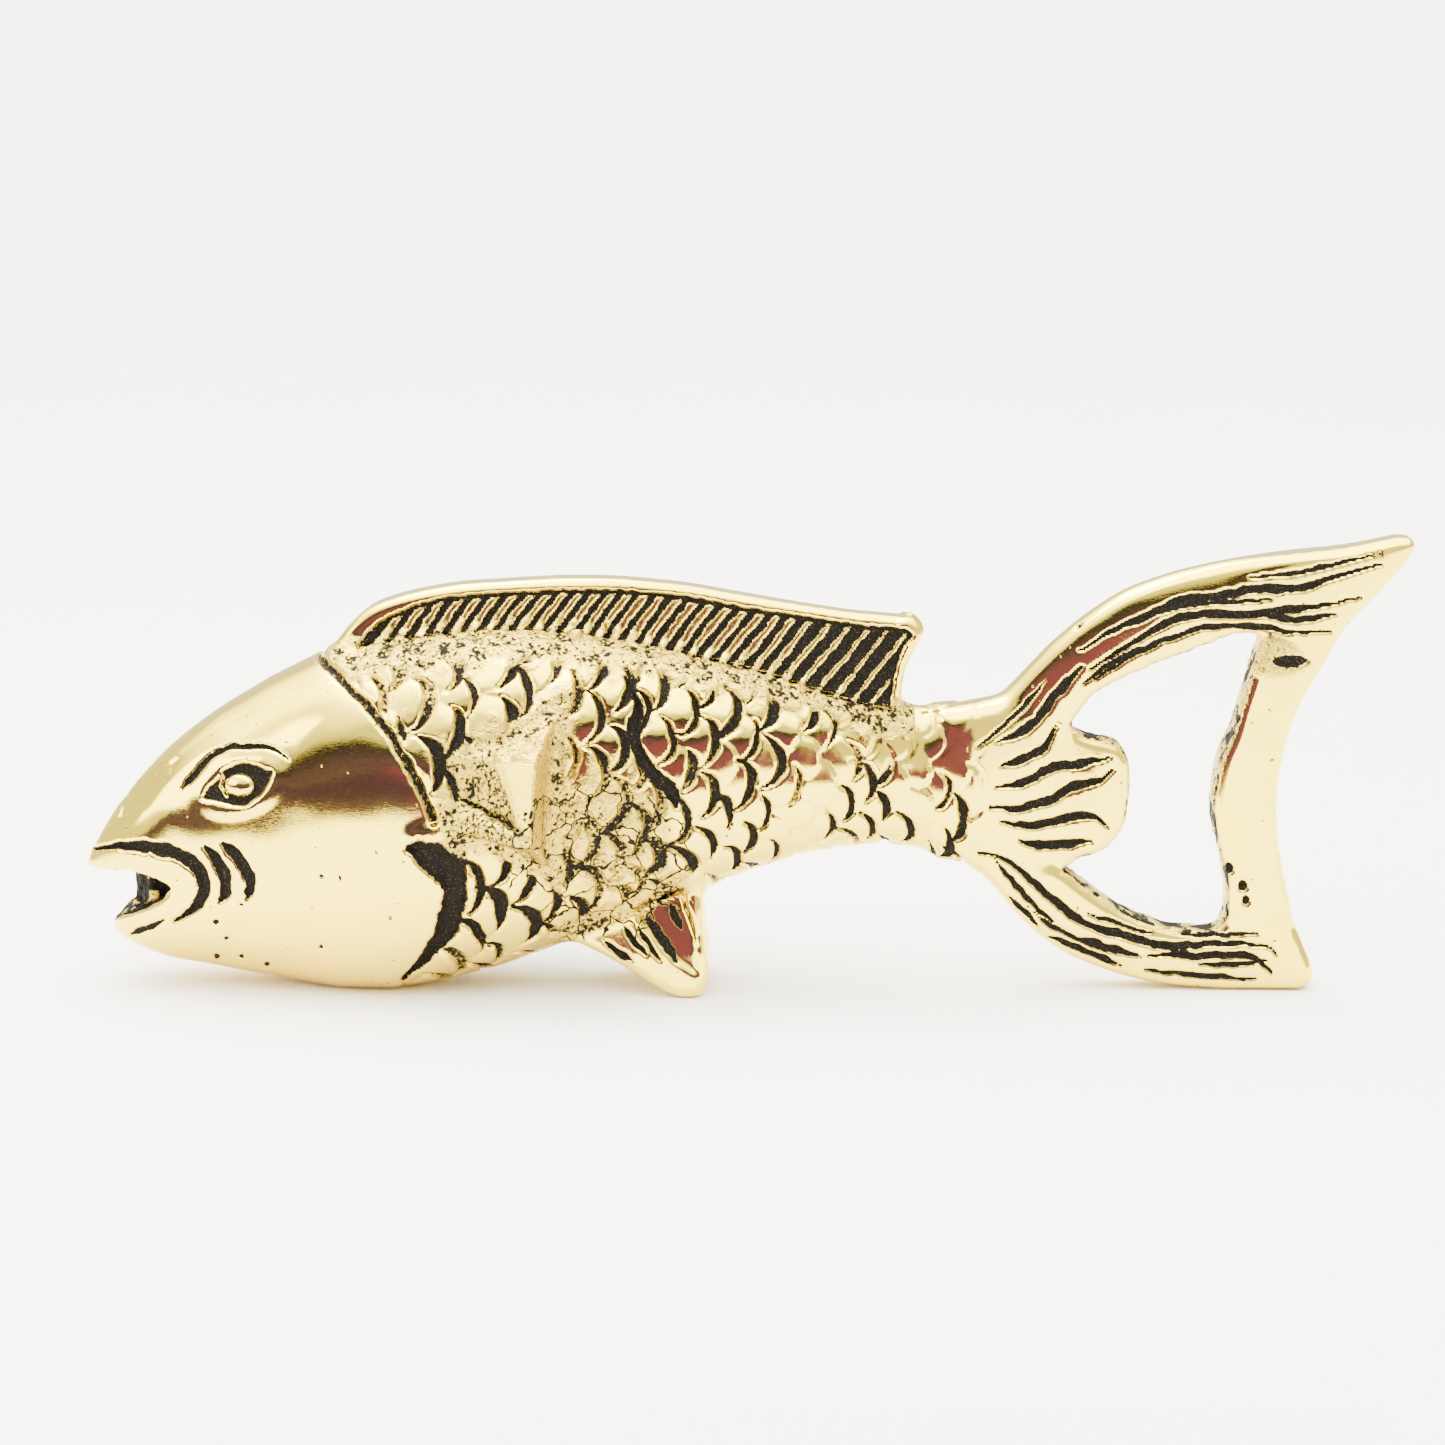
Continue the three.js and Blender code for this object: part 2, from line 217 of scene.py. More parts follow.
def slab(flat, across, half, edge):
    """A plate whose outline is a side-view distance, with rounded edges."""
    qx, qy = flat + edge, across - half + edge
    return np.minimum(np.maximum(qx, qy), 0) + np.hypot(np.maximum(qx, 0), np.maximum(qy, 0)) - edge


# ---------------------------------------------------------------- the fish's outlines

BACK = profile([
    [-2, 12.5], [0, 14.4], [2, 17.9], [4, 20.9], [7, 24.5], [10, 27.5], [14, 30.6], [18.5, 33.4], [23, 35.8],
    [28, 38.2], [34, 39.7], [42, 40.8], [50, 41.1], [60, 40.1], [68, 38.4], [75, 36.8], [82, 34.7],
    [89, 32.8], [95, 31.7], [99, 31.9], [103, 31.4], [108, 29],
], 0.6)
BELLY = profile([
    [-2, 13.5], [0, 12.4], [1.2, 9.6], [2.4, 6.9], [3.8, 5.2], [6, 3.9], [9, 2.9], [14, 2.1], [18.5, 1.3],
    [23, 0.5], [28, -0.2], [32, -0.25], [36, -0.1], [40, 0.7], [44, 1.7], [48, 2.9], [54, 5.3], [62, 8.4],
    [69, 11.2], [75, 13.6], [82, 15.6], [89, 16.3], [94, 15.7], [99, 15.4], [103, 16.4], [108, 19],
], 0.6)
HALF_WIDTH = profile([
    [-2, 0.3], [0, 1.5], [1.5, 3.1], [4, 4.7], [9, 7], [15, 8.9], [22, 10.5], [30, 11.9], [38, 12.5],
    [46, 12.4], [56, 11.3], [66, 9.4], [76, 7.3], [86, 5.2], [92, 4.2], [97, 3.6], [102, 2.9], [108, 1.8],
])
FULLNESS = 2.25  # of the body's section: 2 is an ellipse
LIPS, BODY_END = -0.1, 107  # where the body is cut off, the latter inside the tail

TAIL_OUTER = outline(
    [[95, 15.4], [98, 14.5], [101, 12.1], [104.1, 8.4], [107, 5.8], [111, 3.3], [116.6, 1.4], [121, 0.5],
     [127, 0]],
    [[127, 0], [135.8, 0]],
    [[135.8, 0], [137.2, 1], [137.3, 2.7], [136.1, 5.6], [135, 8.2], [133.8, 12.8], [132.9, 17.4],
     [132.6, 22.9], [133.3, 28], [134.6, 32.3], [137, 36.9], [139.6, 41.2], [143, 45], [145.7, 48.2],
     [146.9, 50.2], [146.4, 51.3], [145, 51.5]],
    [[145, 51.5], [139.3, 50.3], [133.1, 49.6], [126.9, 48.7], [120.7, 47.3], [115.3, 45.2], [111.1, 42.5],
     [107.8, 39.7], [105.1, 36.9], [103, 34.6], [101.2, 33], [98, 32], [95, 31.7]],
)
OPENING = outline(
    [[109.6, 30.3], [110.3, 31.7], [112, 33.7], [114.6, 35.3], [118, 36.9], [121.5, 38.3], [124.8, 39.6],
     [127.4, 40.6], [129.3, 40.7], [130.2, 39.9], [129.7, 38], [128.9, 35], [128.2, 32.5], [127.4, 29.5],
     [126.5, 27.2], [125.9, 24.8], [125.5, 22], [125.6, 19.5], [126.3, 16.5], [127, 14], [127.4, 11.5],
     [127.3, 8.8], [126.5, 7.2], [124.4, 6.8], [121.6, 7.1], [119, 7.8], [116.2, 9], [113, 11],
     [110.6, 12.8], [109.2, 13.9]],
    [[109.2, 13.9], [111, 14.9], [113.2, 15.6], [114.6, 16.8], [115.7, 18.8], [116.2, 21.2], [116.3, 23.7],
     [116.1, 26.1], [115.2, 27.8], [113.8, 28.5], [111.6, 29], [110.2, 29.6], [109.6, 30.3]],
)
DORSAL_OUTER = outline(
    [[26.5, 33], [27.6, 38]],
    [[27.6, 38], [28.8, 39.8], [30.3, 41.5], [32.2, 43], [34.9, 44.1], [38.5, 45], [43.1, 45.7],
     [48.7, 46.1], [54.4, 46.35], [60.1, 46.3], [67.7, 45.5], [73.3, 44.5], [80.4, 43.4],
     [86.1, 42.6], [89.6, 42.3], [91.6, 42], [92.7, 41], [92.9, 39.9], [92.3, 38.8], [91.4, 37], [90.9, 34.7]],
    [[90.9, 34.7], [90.4, 30]],
)
MOUTH = outline(
    [[-4, 13.7], [0, 13.4], [2.7, 13.6], [5, 13.8], [7, 13.6], [8.9, 13.1], [10.2, 12.3], [9.6, 11.2],
     [7.8, 10], [5.6, 8.9], [3.7, 7.9], [2.4, 6.2]],
    [[2.4, 6.2], [-4, 2]],
)
PELVIC = outline(
    [[50, 13], [51.5, 8], [55.5, 5.9], [58.2, 4.6], [60.6, 3.2], [63, 1.7], [65, 0.5], [66.6, 0],
     [68.3, 0.15], [69.3, 1.2], [69.6, 3.2], [69.3, 6], [69, 9], [69, 12]],
    [[69, 12], [66, 17], [56, 17]],
)
tail_outer = SideMap(TAIL_OUTER)
opening = SideMap(OPENING)
dorsal_outer = SideMap(DORSAL_OUTER)
mouth = SideMap(MOUTH)
pelvic = SideMap(PELVIC)

GILL = smooth_curve([
    [23.6, 41], [25.7, 37.5], [28.2, 35.1], [31.2, 31.9], [33.8, 28.6], [36, 24.8], [37.8, 21.2], [38.8, 18],
    [39.6, 14], [40, 10.2], [39.6, 6.2], [38.2, 2.8], [35.6, 0.2], [34, -1.5],
])


# ---------------------------------------------------------------- the casting as distance fields


def section(x, y, z):
    """Where a place lies in the body's section: 1 on the skin; with its shares across and up."""
    top, low, half = BACK(x), BELLY(x), HALF_WIDTH(x)
    tall = np.maximum((top - low) / 2, 0.3)
    across = np.abs(y) / half
    up = (z - (top + low) / 2) / tall
    size = (across**FULLNESS + np.abs(up) ** FULLNESS + 1e-9) ** (1 / FULLNESS)
    return size, across, up, half, tall


def body_field(x, y, z):
    size, across, up, half, tall = section(x, y, z)
    slope_y = (across / size) ** (FULLNESS - 1) / half
    slope_z = (np.abs(up) / size) ** (FULLNESS - 1) / tall
    flat = (size - 1) / np.maximum(np.hypot(slope_y, slope_z), 0.02)
    flat = carve(flat, x - LIPS, 1.2)
    return common(flat, x - BODY_END, 1.0)


def tail_half(x, z):
    """Half the tail's thickness: the tongue is thinner, the lobes' tips thinner still."""
    tongue = ease(104, 110, x) * (1 - ease(117, 119, x))
    tongue = tongue * ease(13, 15, z) * (1 - ease(28.5, 30.5, z))
    tip = ease(134, 147, x)
    return 2.75 - 0.45 * tongue - 0.35 * tip + 0.5 * (1 - ease(95, 106, x))


def tail_field(x, y, z):
    """A plate round the opening, thickest at its middle, with a crowned upper lobe."""
    flat = np.maximum(tail_outer(x, z), -opening(x, z))
    on_bar = ease(120, 124, x) * ease(7, 10, z) * ease(41, 37, z)
    on_upper_lobe = ease(27, 32, z) * ease(134, 124, x) * ease(97, 103, x)
    edge_low = 1 - np.sqrt(np.clip(-flat / 3.6, 0, 1))
    lobe_low = np.clip(1 + tail_outer(x, z) / 5.5, 0, 1) ** 2
    crown = 1 - (0.16 - 0.13 * on_bar) * edge_low - 0.26 * on_upper_lobe * lobe_low
    return slab(flat, np.abs(y), tail_half(x, z) * crown, 1.2 - 0.35 * on_bar)


def dorsal_field(x, y, z):
    rise = np.clip(z - BACK(x), 0, 9)
    half = 2.35 - 0.06 * rise
    return slab(dorsal_outer(x, z), np.abs(y), half, 1.0)


def plane_through(a, b, c, inner):
    """A plane's normal and its distance from the origin, facing away from an inner place."""
    a, b, c, inner = (np.array(p, float) for p in (a, b, c, inner))
    normal = np.cross(b - a, c - a)
    normal /= np.linalg.norm(normal)
    if normal @ (inner - a) > 0:
        normal = -normal
    return normal, normal @ a


# The pectoral fin's filed facet has these three corners, and its walls run down to the body from them.
FACET_FRONT, FACET_BACK, FACET_TIP = [45.3, 13.4, 28.2], [50.9, 16.2, 29.0], [50.3, 17.4, 20.4]
WEDGE_HEART = [48, 10, 25]
PECTORAL_WALLS = [
    plane_through(FACET_FRONT, FACET_BACK, FACET_TIP, WEDGE_HEART),
    plane_through(FACET_FRONT, FACET_TIP, [43.2, 11.7, 22.8], WEDGE_HEART),
    plane_through(FACET_BACK, FACET_TIP, [52.3, 11.2, 24], WEDGE_HEART),
    plane_through(FACET_FRONT, FACET_BACK, [48, 10.8, 30.6], WEDGE_HEART),
    plane_through(FACET_TIP, [43, 12, 21.2], [51.8, 11.6, 16], WEDGE_HEART),
]


def capsule(x, y, z, a, b, radius_a, radius_b):
    """Distance to a round bar from a to b, with a radius for each end."""
    a, b = np.array(a, float), np.array(b, float)
    e = b - a
    t = np.clip(((x - a[0]) * e[0] + (y - a[1]) * e[1] + (z - a[2]) * e[2]) / (e @ e), 0, 1)
    away = np.sqrt((x - a[0] - e[0] * t) ** 2 + (y - a[1] - e[1] * t) ** 2 + (z - a[2] - e[2] * t) ** 2)
    return away - (radius_a * (1 - t) + radius_b * t)


def pectoral_field(x, y, z):
    """The wedge behind the gill cover, and the ridge that runs to its tip from the gill's lower end."""
    out = np.abs(y)
    field = None
    for normal, reach in PECTORAL_WALLS:
        wall = normal[0] * x + normal[1] * out + normal[2] * z - reach
        field = wall if field is None else common(field, wall, 0.45)
    dish = capsule(x, out, z, [42.8, 17.0, 30.5], [45.2, 17.3, 22.8], 4.9, 3.7)
    field = carve(field, dish, 0.4)
    ridge = capsule(x, out, z, [38.0, 11.2, 19.6], [44.0, 12.3, 21.3], 1.5, 1.5)
    tip = capsule(x, out, z, [44.0, 12.3, 21.3], [49.5, 15.8, 20.2], 1.5, 1.1)
    return melt(field, np.minimum(ridge, tip), 0.5)


def pelvic_middle(z):
    """How far out the blade's middle lies: it splays outwards as it goes down."""
    return np.interp(z, [0, 5, 12], [5.7, 4.9, 3.2])


def pelvic_field(x, y, z):
    half = np.interp(z, [0, 3, 10], [1.45, 1.6, 2.4])
    return slab(pelvic(x, z), np.abs(np.abs(y) - pelvic_middle(z)), half, 1.1)


FIELDS = {
    "body": body_field, "tail": tail_field, "dorsal": dorsal_field, "pectoral": pectoral_field,
    "pelvic": pelvic_field,
}
FEET = 0.02  # the height at which the feet are cut flat
FILLETS = {"tail": 2.6, "dorsal": 1.5, "pectoral": 0.9, "pelvic": 1.6}


def mouth_field(x, y, z):
    """The open mouth: right through at the lips, and with a web across its middle further in."""
    web = np.clip(1.2 * (x - 5.2), -1, 2.6)
    return np.maximum(mouth(x, z), web - np.abs(y))


def casting_field(x, y, z):
    whole = body_field(x, y, z)
    for name, fillet in FILLETS.items():
        whole = melt(whole, FIELDS[name](x, y, z), fillet)
    whole = carve(whole, mouth_field(x, y, z), 0.5)
    return carve(whole, z - FEET, 0.25)


GRID_MARGIN, GRID_HALF_WIDTH, GRID_TOP = 1.5, 18.5, 53.5  # the box that the grid fills
BATCH = 48  # columns of the grid that are worked out together, to save memory


def sample_casting():
    """The casting's field on a grid, and the grid's first corner and steps."""
    low = np.array([-GRID_MARGIN, -GRID_HALF_WIDTH, -1.0])
    high = np.array([LENGTH + GRID_MARGIN, GRID_HALF_WIDTH, GRID_TOP])
    steps = np.array([CELL, CELL_ACROSS, CELL])
    counts = np.ceil((high - low) / steps).astype(int)
    counts[1] += 1 - counts[1] % 2  # odd, so that one layer lies on the middle plane
    low[1] = -steps[1] * (counts[1] - 1) / 2
    xs, ys, zs = (low[a] + steps[a] * np.arange(counts[a]) for a in range(3))
    half = counts[1] // 2 + 1
    field = np.empty(tuple(counts), np.float32)
    for start in range(0, counts[0], BATCH):
        part = xs[start:start + BATCH, None, None]
        field[start:start + BATCH, :half] = casting_field(part, ys[None, :half, None], zs[None, None, :])
    field[:, half:] = field[:, :half - 1][:, ::-1]
    return field, low, steps


# ---------------------------------------------------------------- from field to mesh


def surface_nets(field, low, steps):
    """Vertices and quads of the field's zero surface."""
    inside = field < 0
    count = 0
    for a, b, c in CORNERS:
        count = count + inside[a:a - 1 or None, b:b - 1 or None, c:c - 1 or None].astype(np.int8)
    cells = np.argwhere((count > 0) & (count < 8))
    index = np.full(count.shape, -1, np.int32)
    index[tuple(cells.T)] = np.arange(len(cells))
    values = np.stack([field[tuple((cells + c).T)] for c in CORNERS], axis=1).astype(float)
    total, hits = np.zeros((len(cells), 3)), np.zeros(len(cells))
    for i, a in enumerate(CORNERS):
        for j, b in enumerate(CORNERS):
            if j <= i or sum(abs(p - q) for p, q in zip(a, b)) != 1:
                continue
            crossed = (values[:, i] < 0) != (values[:, j] < 0)
            span = np.where(crossed, values[:, i] - values[:, j], 1)
            t = np.where(crossed, values[:, i] / span, 0)[:, None]
            total += crossed[:, None] * (np.array(a) * (1 - t) + np.array(b) * t)
            hits += crossed
    places = low + (cells + total / hits[:, None]) * steps
    quads = []
    for axis in range(3):
        one, two = [(1, 2), (2, 0), (0, 1)][axis]
        near = inside[tuple(slice(0, -1) if a == axis else slice(None) for a in range(3))]
        far = inside[tuple(slice(1, None) if a == axis else slice(None) for a in range(3))]
        edges = np.argwhere(near != far)
        leaving = near[tuple(edges.T)]
        ring = []
        for p, q in ((0, 0), (1, 0), (1, 1), (0, 1)):
            cell = edges.copy()
            cell[:, one] -= p
            cell[:, two] -= q
            ring.append(index[tuple(cell.T)])
        ring = np.stack(ring, axis=1)
        quads.append(np.where(leaving[:, None], ring, ring[:, ::-1]))
    return places, np.vstack(quads)


def grid_lookup(field, low, steps, points):
    """The field at any places, from the values at the grid's."""
    u = (points - low) / steps
    i = np.clip(np.floor(u).astype(int), 0, np.array(field.shape) - 2)
    u = u - i
    total = 0
    for corner in CORNERS:
        weight = 1
        for axis, bit in enumerate(corner):
            weight = weight * (u[:, axis] if bit else 1 - u[:, axis])
        total = total + weight * field[tuple((i + corner).T)]
    return total


def relax(points, quads, rounds, push=0.5, pull=-0.53):
    """Smooths away the grid's steps and keeps the volume."""
    ends = np.vstack([quads[:, [0, 1]], quads[:, [1, 2]], quads[:, [2, 3]], quads[:, [3, 0]]])
    ends = np.vstack([ends, ends[:, ::-1]])
    number = np.bincount(ends[:, 0], minlength=len(points))
    for turn in range(2 * rounds):
        share = push if turn % 2 == 0 else pull
        sums = [np.bincount(ends[:, 0], points[ends[:, 1], axis], len(points)) for axis in range(3)]
        points = points + share * (np.stack(sums, axis=1) / number[:, None] - points)
    return points


def vertex_normals(points, quads):
    a, b, c, d = (points[quads[:, k]] for k in range(4))
    faces = np.cross(c - a, d - b)
    normals = np.zeros_like(points)
    for k in range(4):
        for axis in range(3):
            normals[:, axis] += np.bincount(quads[:, k], faces[:, axis], len(points))
    return normals / np.maximum(np.linalg.norm(normals, axis=1), 1e-12)[:, None]


def cast_surface():
    """The plain casting: one smooth closed surface, before any chiselling."""
    field, low, steps = sample_casting()
    points, quads = surface_nets(field, low, steps)
    for _ in range(2):
        value = grid_lookup(field, low, steps, points)
        slope = np.empty_like(points)
        for axis in range(3):
            shift = np.zeros(3)
            shift[axis] = 0.7 * steps[axis]
            ahead = grid_lookup(field, low, steps, points + shift)
            slope[:, axis] = (ahead - grid_lookup(field, low, steps, points - shift)) / (2 * shift[axis])
        points = points - slope * (value / np.maximum((slope**2).sum(1), 0.2))[:, None]
    return relax(points, quads, 6), quads


# ---------------------------------------------------------------- chiselling


EYE_DISTANCE = 430.0  # from the camera to the fish's middle
EYE_AIM = [70.4, 29.6]  # the place looked at
LOOKS_LOWER = 0.2126  # by how much a place looks lower, from a little above, per millimetre it stands out


def seen(x, y, z):
    """Where a place on the flank lies in the side view that the chiselled lines are drawn in."""
    closer = 1 + np.abs(y) / EYE_DISTANCE
    seen_z = z - LOOKS_LOWER * np.abs(y)
    return EYE_AIM[0] + (x - EYE_AIM[0]) * closer, EYE_AIM[1] + (seen_z - EYE_AIM[1]) * closer


class Relief:
    """Heights, ink and roughness that the chiselling adds to each vertex. x and z are as seen."""

    def __init__(self, points, normals):
        self.place = points.T
        self.y = points[:, 1]
        self.x, self.z = seen(*points.T)
        self.side = np.where(self.y < 0, -1, 1)
        self.height = np.zeros(len(points))  # along the surface's normal
        self.ink = np.zeros(len(points))  # dark patina, 1 where a groove is full of it
        self.rough = np.zeros(len(points))  # granular metal, as it left the mould
        self.filed = np.zeros(len(points))  # left with file marks
        self.cracked = np.zeros(len(points))  # crossed by hairlines
        self.flank = np.abs(normals[:, 1])
        self.wander_x = self.x + 0.16 * noise(self.x, 9.0 * self.side, self.z, 1.1, 1)
        self.wander_z = self.z + 0.16 * noise(self.x, 9.0 * self.side, self.z, 1.1, 2)
        self.wobble = noise(self.x, 5.0 * self.side, self.z, 0.7, 3)

    def near(self, points, reach):
        low, high = points.min(0) - reach, points.max(0) + reach
        return (self.x > low[0]) & (self.x < high[0]) & (self.z > low[1]) & (self.z < high[1])

    def groove(self, where, points, width, depth, taper=(0.3, 0.3), ink=1.0):
        """A chiselled line: width across at its middle, thinning along the shares in taper at its ends."""
        line = smooth_curve(points, 5)
        pick = np.flatnonzero(where & self.near(line, width + 0.6))
        away, along = line_distance(self.wander_x[pick], self.wander_z[pick], line)
        full = np.minimum(ease(-0.02, taper[0], along), ease(-0.02, taper[1], 1 - along))
        half = 0.5 * width * (0.25 + 0.75 * full) * (1 + 0.22 * self.wobble[pick])
        cut = ease(1.25, 0.35, away / half)
        self.height[pick] = np.minimum(self.height[pick], self.height[pick] * (1 - cut) - depth * cut)
        self.ink[pick] = np.maximum(self.ink[pick], ink * ease(1.45, 0.55, away / half))

    def patch(self, mask, height=0.0, ink=0.0, rough=0.0):
        """Raises, darkens and roughens the places in a mask of numbers from 0 to 1."""
        self.height += mask * height
        self.ink = np.maximum(self.ink, mask * ink)
        self.rough = np.maximum(self.rough, mask * rough)


def spot(x, z, centre, across, tall, turn=0.0):
    """1 at the middle of an oval in side view, 0 outside it."""
    a = math.radians(turn)
    u = ((x - centre[0]) * math.cos(a) + (z - centre[1]) * math.sin(a)) / across
    w = (-(x - centre[0]) * math.sin(a) + (z - centre[1]) * math.cos(a)) / tall
    return 1 - ease(0.6, 1.0, np.hypot(u, w))


HEAD_LINES = [  # each with its points, width, depth, tapers and ink
    ([[0.8, 15.2], [3.4, 15.4], [6.6, 15.3], [9.7, 14.7], [11.7, 13.4], [12.8, 11.8], [12.9, 10.2],
      [12.1, 8.6], [10.9, 7.5], [9.5, 6.7]], 1.45, 0.6, (0.3, 0.25), 1),
    ([[13.2, 15.3], [14.4, 14], [15.2, 12.3], [15.4, 10.6], [14.7, 9]], 1.3, 0.5, (0.15, 0.2), 1),
    ([[15.1, 15.8], [16.5, 14.5], [17.6, 12.8], [18.1, 11.1], [17.7, 9.4]], 1.3, 0.5, (0.15, 0.1), 1),
    ([[10.6, 22.1], [12.8, 24.6], [14.7, 26.2], [16.7, 26.9], [19, 27], [20.9, 26.6], [22.6, 25.6]],
     0.7, 0.4, (0.1, 0.25), 1),
    ([[3.8, 19], [5.5, 21.2], [7.5, 23], [10.3, 25.5]], 2.0, 0.25, (0.15, 0.4), 0),
    ([[4.6, 5.2], [6.4, 5.9], [8.4, 6.9]], 0.7, 0.35, (0.2, 0.4), 1),
]
HEAD_PITS = [
    ([14.2, 6.7], 0.4), ([15.3, 4.8], 0.28), ([17.1, 8.7], 0.22), ([14.2, 2.7], 0.4), ([17, 2.7], 0.3),
    ([19.8, 1.8], 0.35), ([26.1, 12.1], 0.3), ([28.2, 11.9], 0.25), ([26, 3.9], 0.3),
]


def chisel_head(r):
    """The lips, the cheek's lines, the brow, the rough inside of the mouth, and a few pits."""
    on_head = r.x < 45
    for line in HEAD_LINES:
        r.groove(on_head, *line)
    inside_mouth = ease(0.9, 0.3, mouth_field(*r.place)) * ease(-0.35, -0.8, body_field(*r.place))
    inside_mouth = inside_mouth * on_head
    lumps = noise(*r.place, 0.9, 61)
    r.patch(inside_mouth, rough=1.0)
    r.patch(inside_mouth * (0.72 - 0.45 * lumps), ink=1.0)
    r.patch(inside_mouth * lumps, height=0.3)
    for centre, size in HEAD_PITS:
        r.patch(spot(r.x, r.z, centre, size, size) * on_head, height=-0.15, ink=1.0)
    chisel_eye(r)


EYE = [17.1, 22.5]


def chisel_eye(r):
    """A raised lid round a sunken socket, and in it a domed pupil behind a thin divider."""
    x, z = r.x, r.z
    lid = spot(x, z, EYE, 6.4, 4.2, 18) - 0.9 * spot(x, z, EYE, 4.6, 2.9, 18)
    r.patch(np.clip(lid, 0, 1) * (x < 30), height=0.16)
    socket = outline([[12.9, 21.0], [14.6, 23.4], [16.2, 24.7], [18.4, 25], [20.9, 24.1]],
                     [[20.9, 24.1], [19.9, 22], [18.6, 20.6], [16.8, 20.1], [15, 20.5], [12.9, 21.0]])
    depth = outline_distance(r.wander_x, r.wander_z, socket)
    hole = ease(0.18, -0.35, depth) * (x < 30)
    pupil = ease(1.12, 0.86, np.hypot((x - EYE[0]) / 1.65, (z - EYE[1]) / 1.35))
    from_divider, _ = line_distance(r.wander_x, r.wander_z, [[15.1, 23.6], [14.9, 22.4], [15.6, 21.2]])
    divider = ease(0.32, 0.1, from_divider)
    r.height = r.height * (1 - hole) - 0.5 * hole
    r.height += 0.95 * pupil * hole * (1 - 0.4 * ((x - EYE[0]) ** 2 / 2.7 + (z - EYE[1]) ** 2 / 1.8))
    r.height += 0.4 * divider * hole
    r.ink = np.maximum(r.ink, hole * (1 - pupil) * (1 - divider))


def gill_side(x, z):
    """Signed distance to the gill line: positive behind it."""
    away, _ = line_distance(x, z, GILL)
    edge = np.interp(z, GILL[::-1, 1], GILL[::-1, 0])
    return np.where(x > edge, away, -away)


def chisel_gill(r):
    """The gill line, the deep wedge at its lower end, and the cover that swells in front of it."""
    body = r.z < BACK(r.x) + 1.5
    upper = [[25.3, 38.1], [28.2, 35.1], [31.2, 31.9], [33.8, 28.6], [36, 24.8], [37.8, 21.2], [38.8, 18]]
    lower = [[36.0, 15.3], [37.4, 15.0], [39.0, 13.4], [40.8, 11.4], [40.8, 8.6], [39.6, 5.4], [37.8, 2.8],
             [35.4, 0.4]]
    wedge = [[36.8, 15.0], [39.2, 14.4], [41.1, 12.4], [42, 9.4]]
    under_ridge = [[41.0, 21.4], [43.6, 20.2], [46.2, 18.8], [48.4, 17.2]]
    r.groove(body, upper, 1.0, 0.5, (0.1, 0.05), 0.62)
    r.groove(body, lower, 2.6, 0.8, (0.06, 0.45))
    r.groove(body, wedge, 2.8, 0.7, (0.1, 0.5))
    r.groove(r.x > 40, under_ridge, 0.6, 0.45, (0.2, 0.2), 0.6)
    behind = gill_side(r.x, r.z)
    cover = ease(-12, -1.0, behind) * ease(0.2, -0.5, behind)
    r.patch(cover * (r.x < 45) * ease(40, 32, r.z), height=0.25)


# ---- scales ----

ROW = 3.35  # between rows of scales, round the body, where they are of average size
PITCH = 5.1  # between scales of one row
SCALE = 2.95  # a scale's radius
GROWTH = [[25, 1.12], [45, 1.06], [70, 0.92], [95, 0.8]]  # how large the scales are from head to tail
BODY_REACH = [20, 112]  # the stretch of x that the tables of lengths cover
STATION_STEP = 0.5
QUARTER_STEPS = 60  # of angle, from the middle of the flank to the back


def girth_table():
    """Lengths round the section from the middle of the flank, for stations and angles."""
    stations = np.arange(BODY_REACH[0], BODY_REACH[1] + STATION_STEP, STATION_STEP)
    angles = np.linspace(-math.pi / 2, math.pi / 2, 2 * QUARTER_STEPS + 1)
    power = 2 / FULLNESS
    half, tall = HALF_WIDTH(stations)[:, None], ((BACK(stations) - BELLY(stations)) / 2)[:, None]
    across = half * np.abs(np.cos(angles)) ** power
    up = tall * np.sign(np.sin(angles)) * np.abs(np.sin(angles)) ** power
    steps = np.hypot(np.diff(across, axis=1), np.diff(up, axis=1))
    lengths = np.concatenate([np.zeros((len(stations), 1)), np.cumsum(steps, axis=1)], axis=1)
    return stations, angles, lengths - lengths[:, [QUARTER_STEPS]]


def round_body(x, y, z):
    """How far round the section from the middle of the flank a place is, positive upwards."""
    stations, angles, lengths = girth_table()
    _, across, up, _, _ = section(x, y, z)
    power = FULLNESS / 2
    angle = np.arctan2(np.sign(up) * np.abs(up) ** power, np.maximum(across, 1e-6) ** power)
    u = (x - stations[0]) / (stations[1] - stations[0])
    w = (angle - angles[0]) / (angles[1] - angles[0])
    return look_up(lengths, u, w)


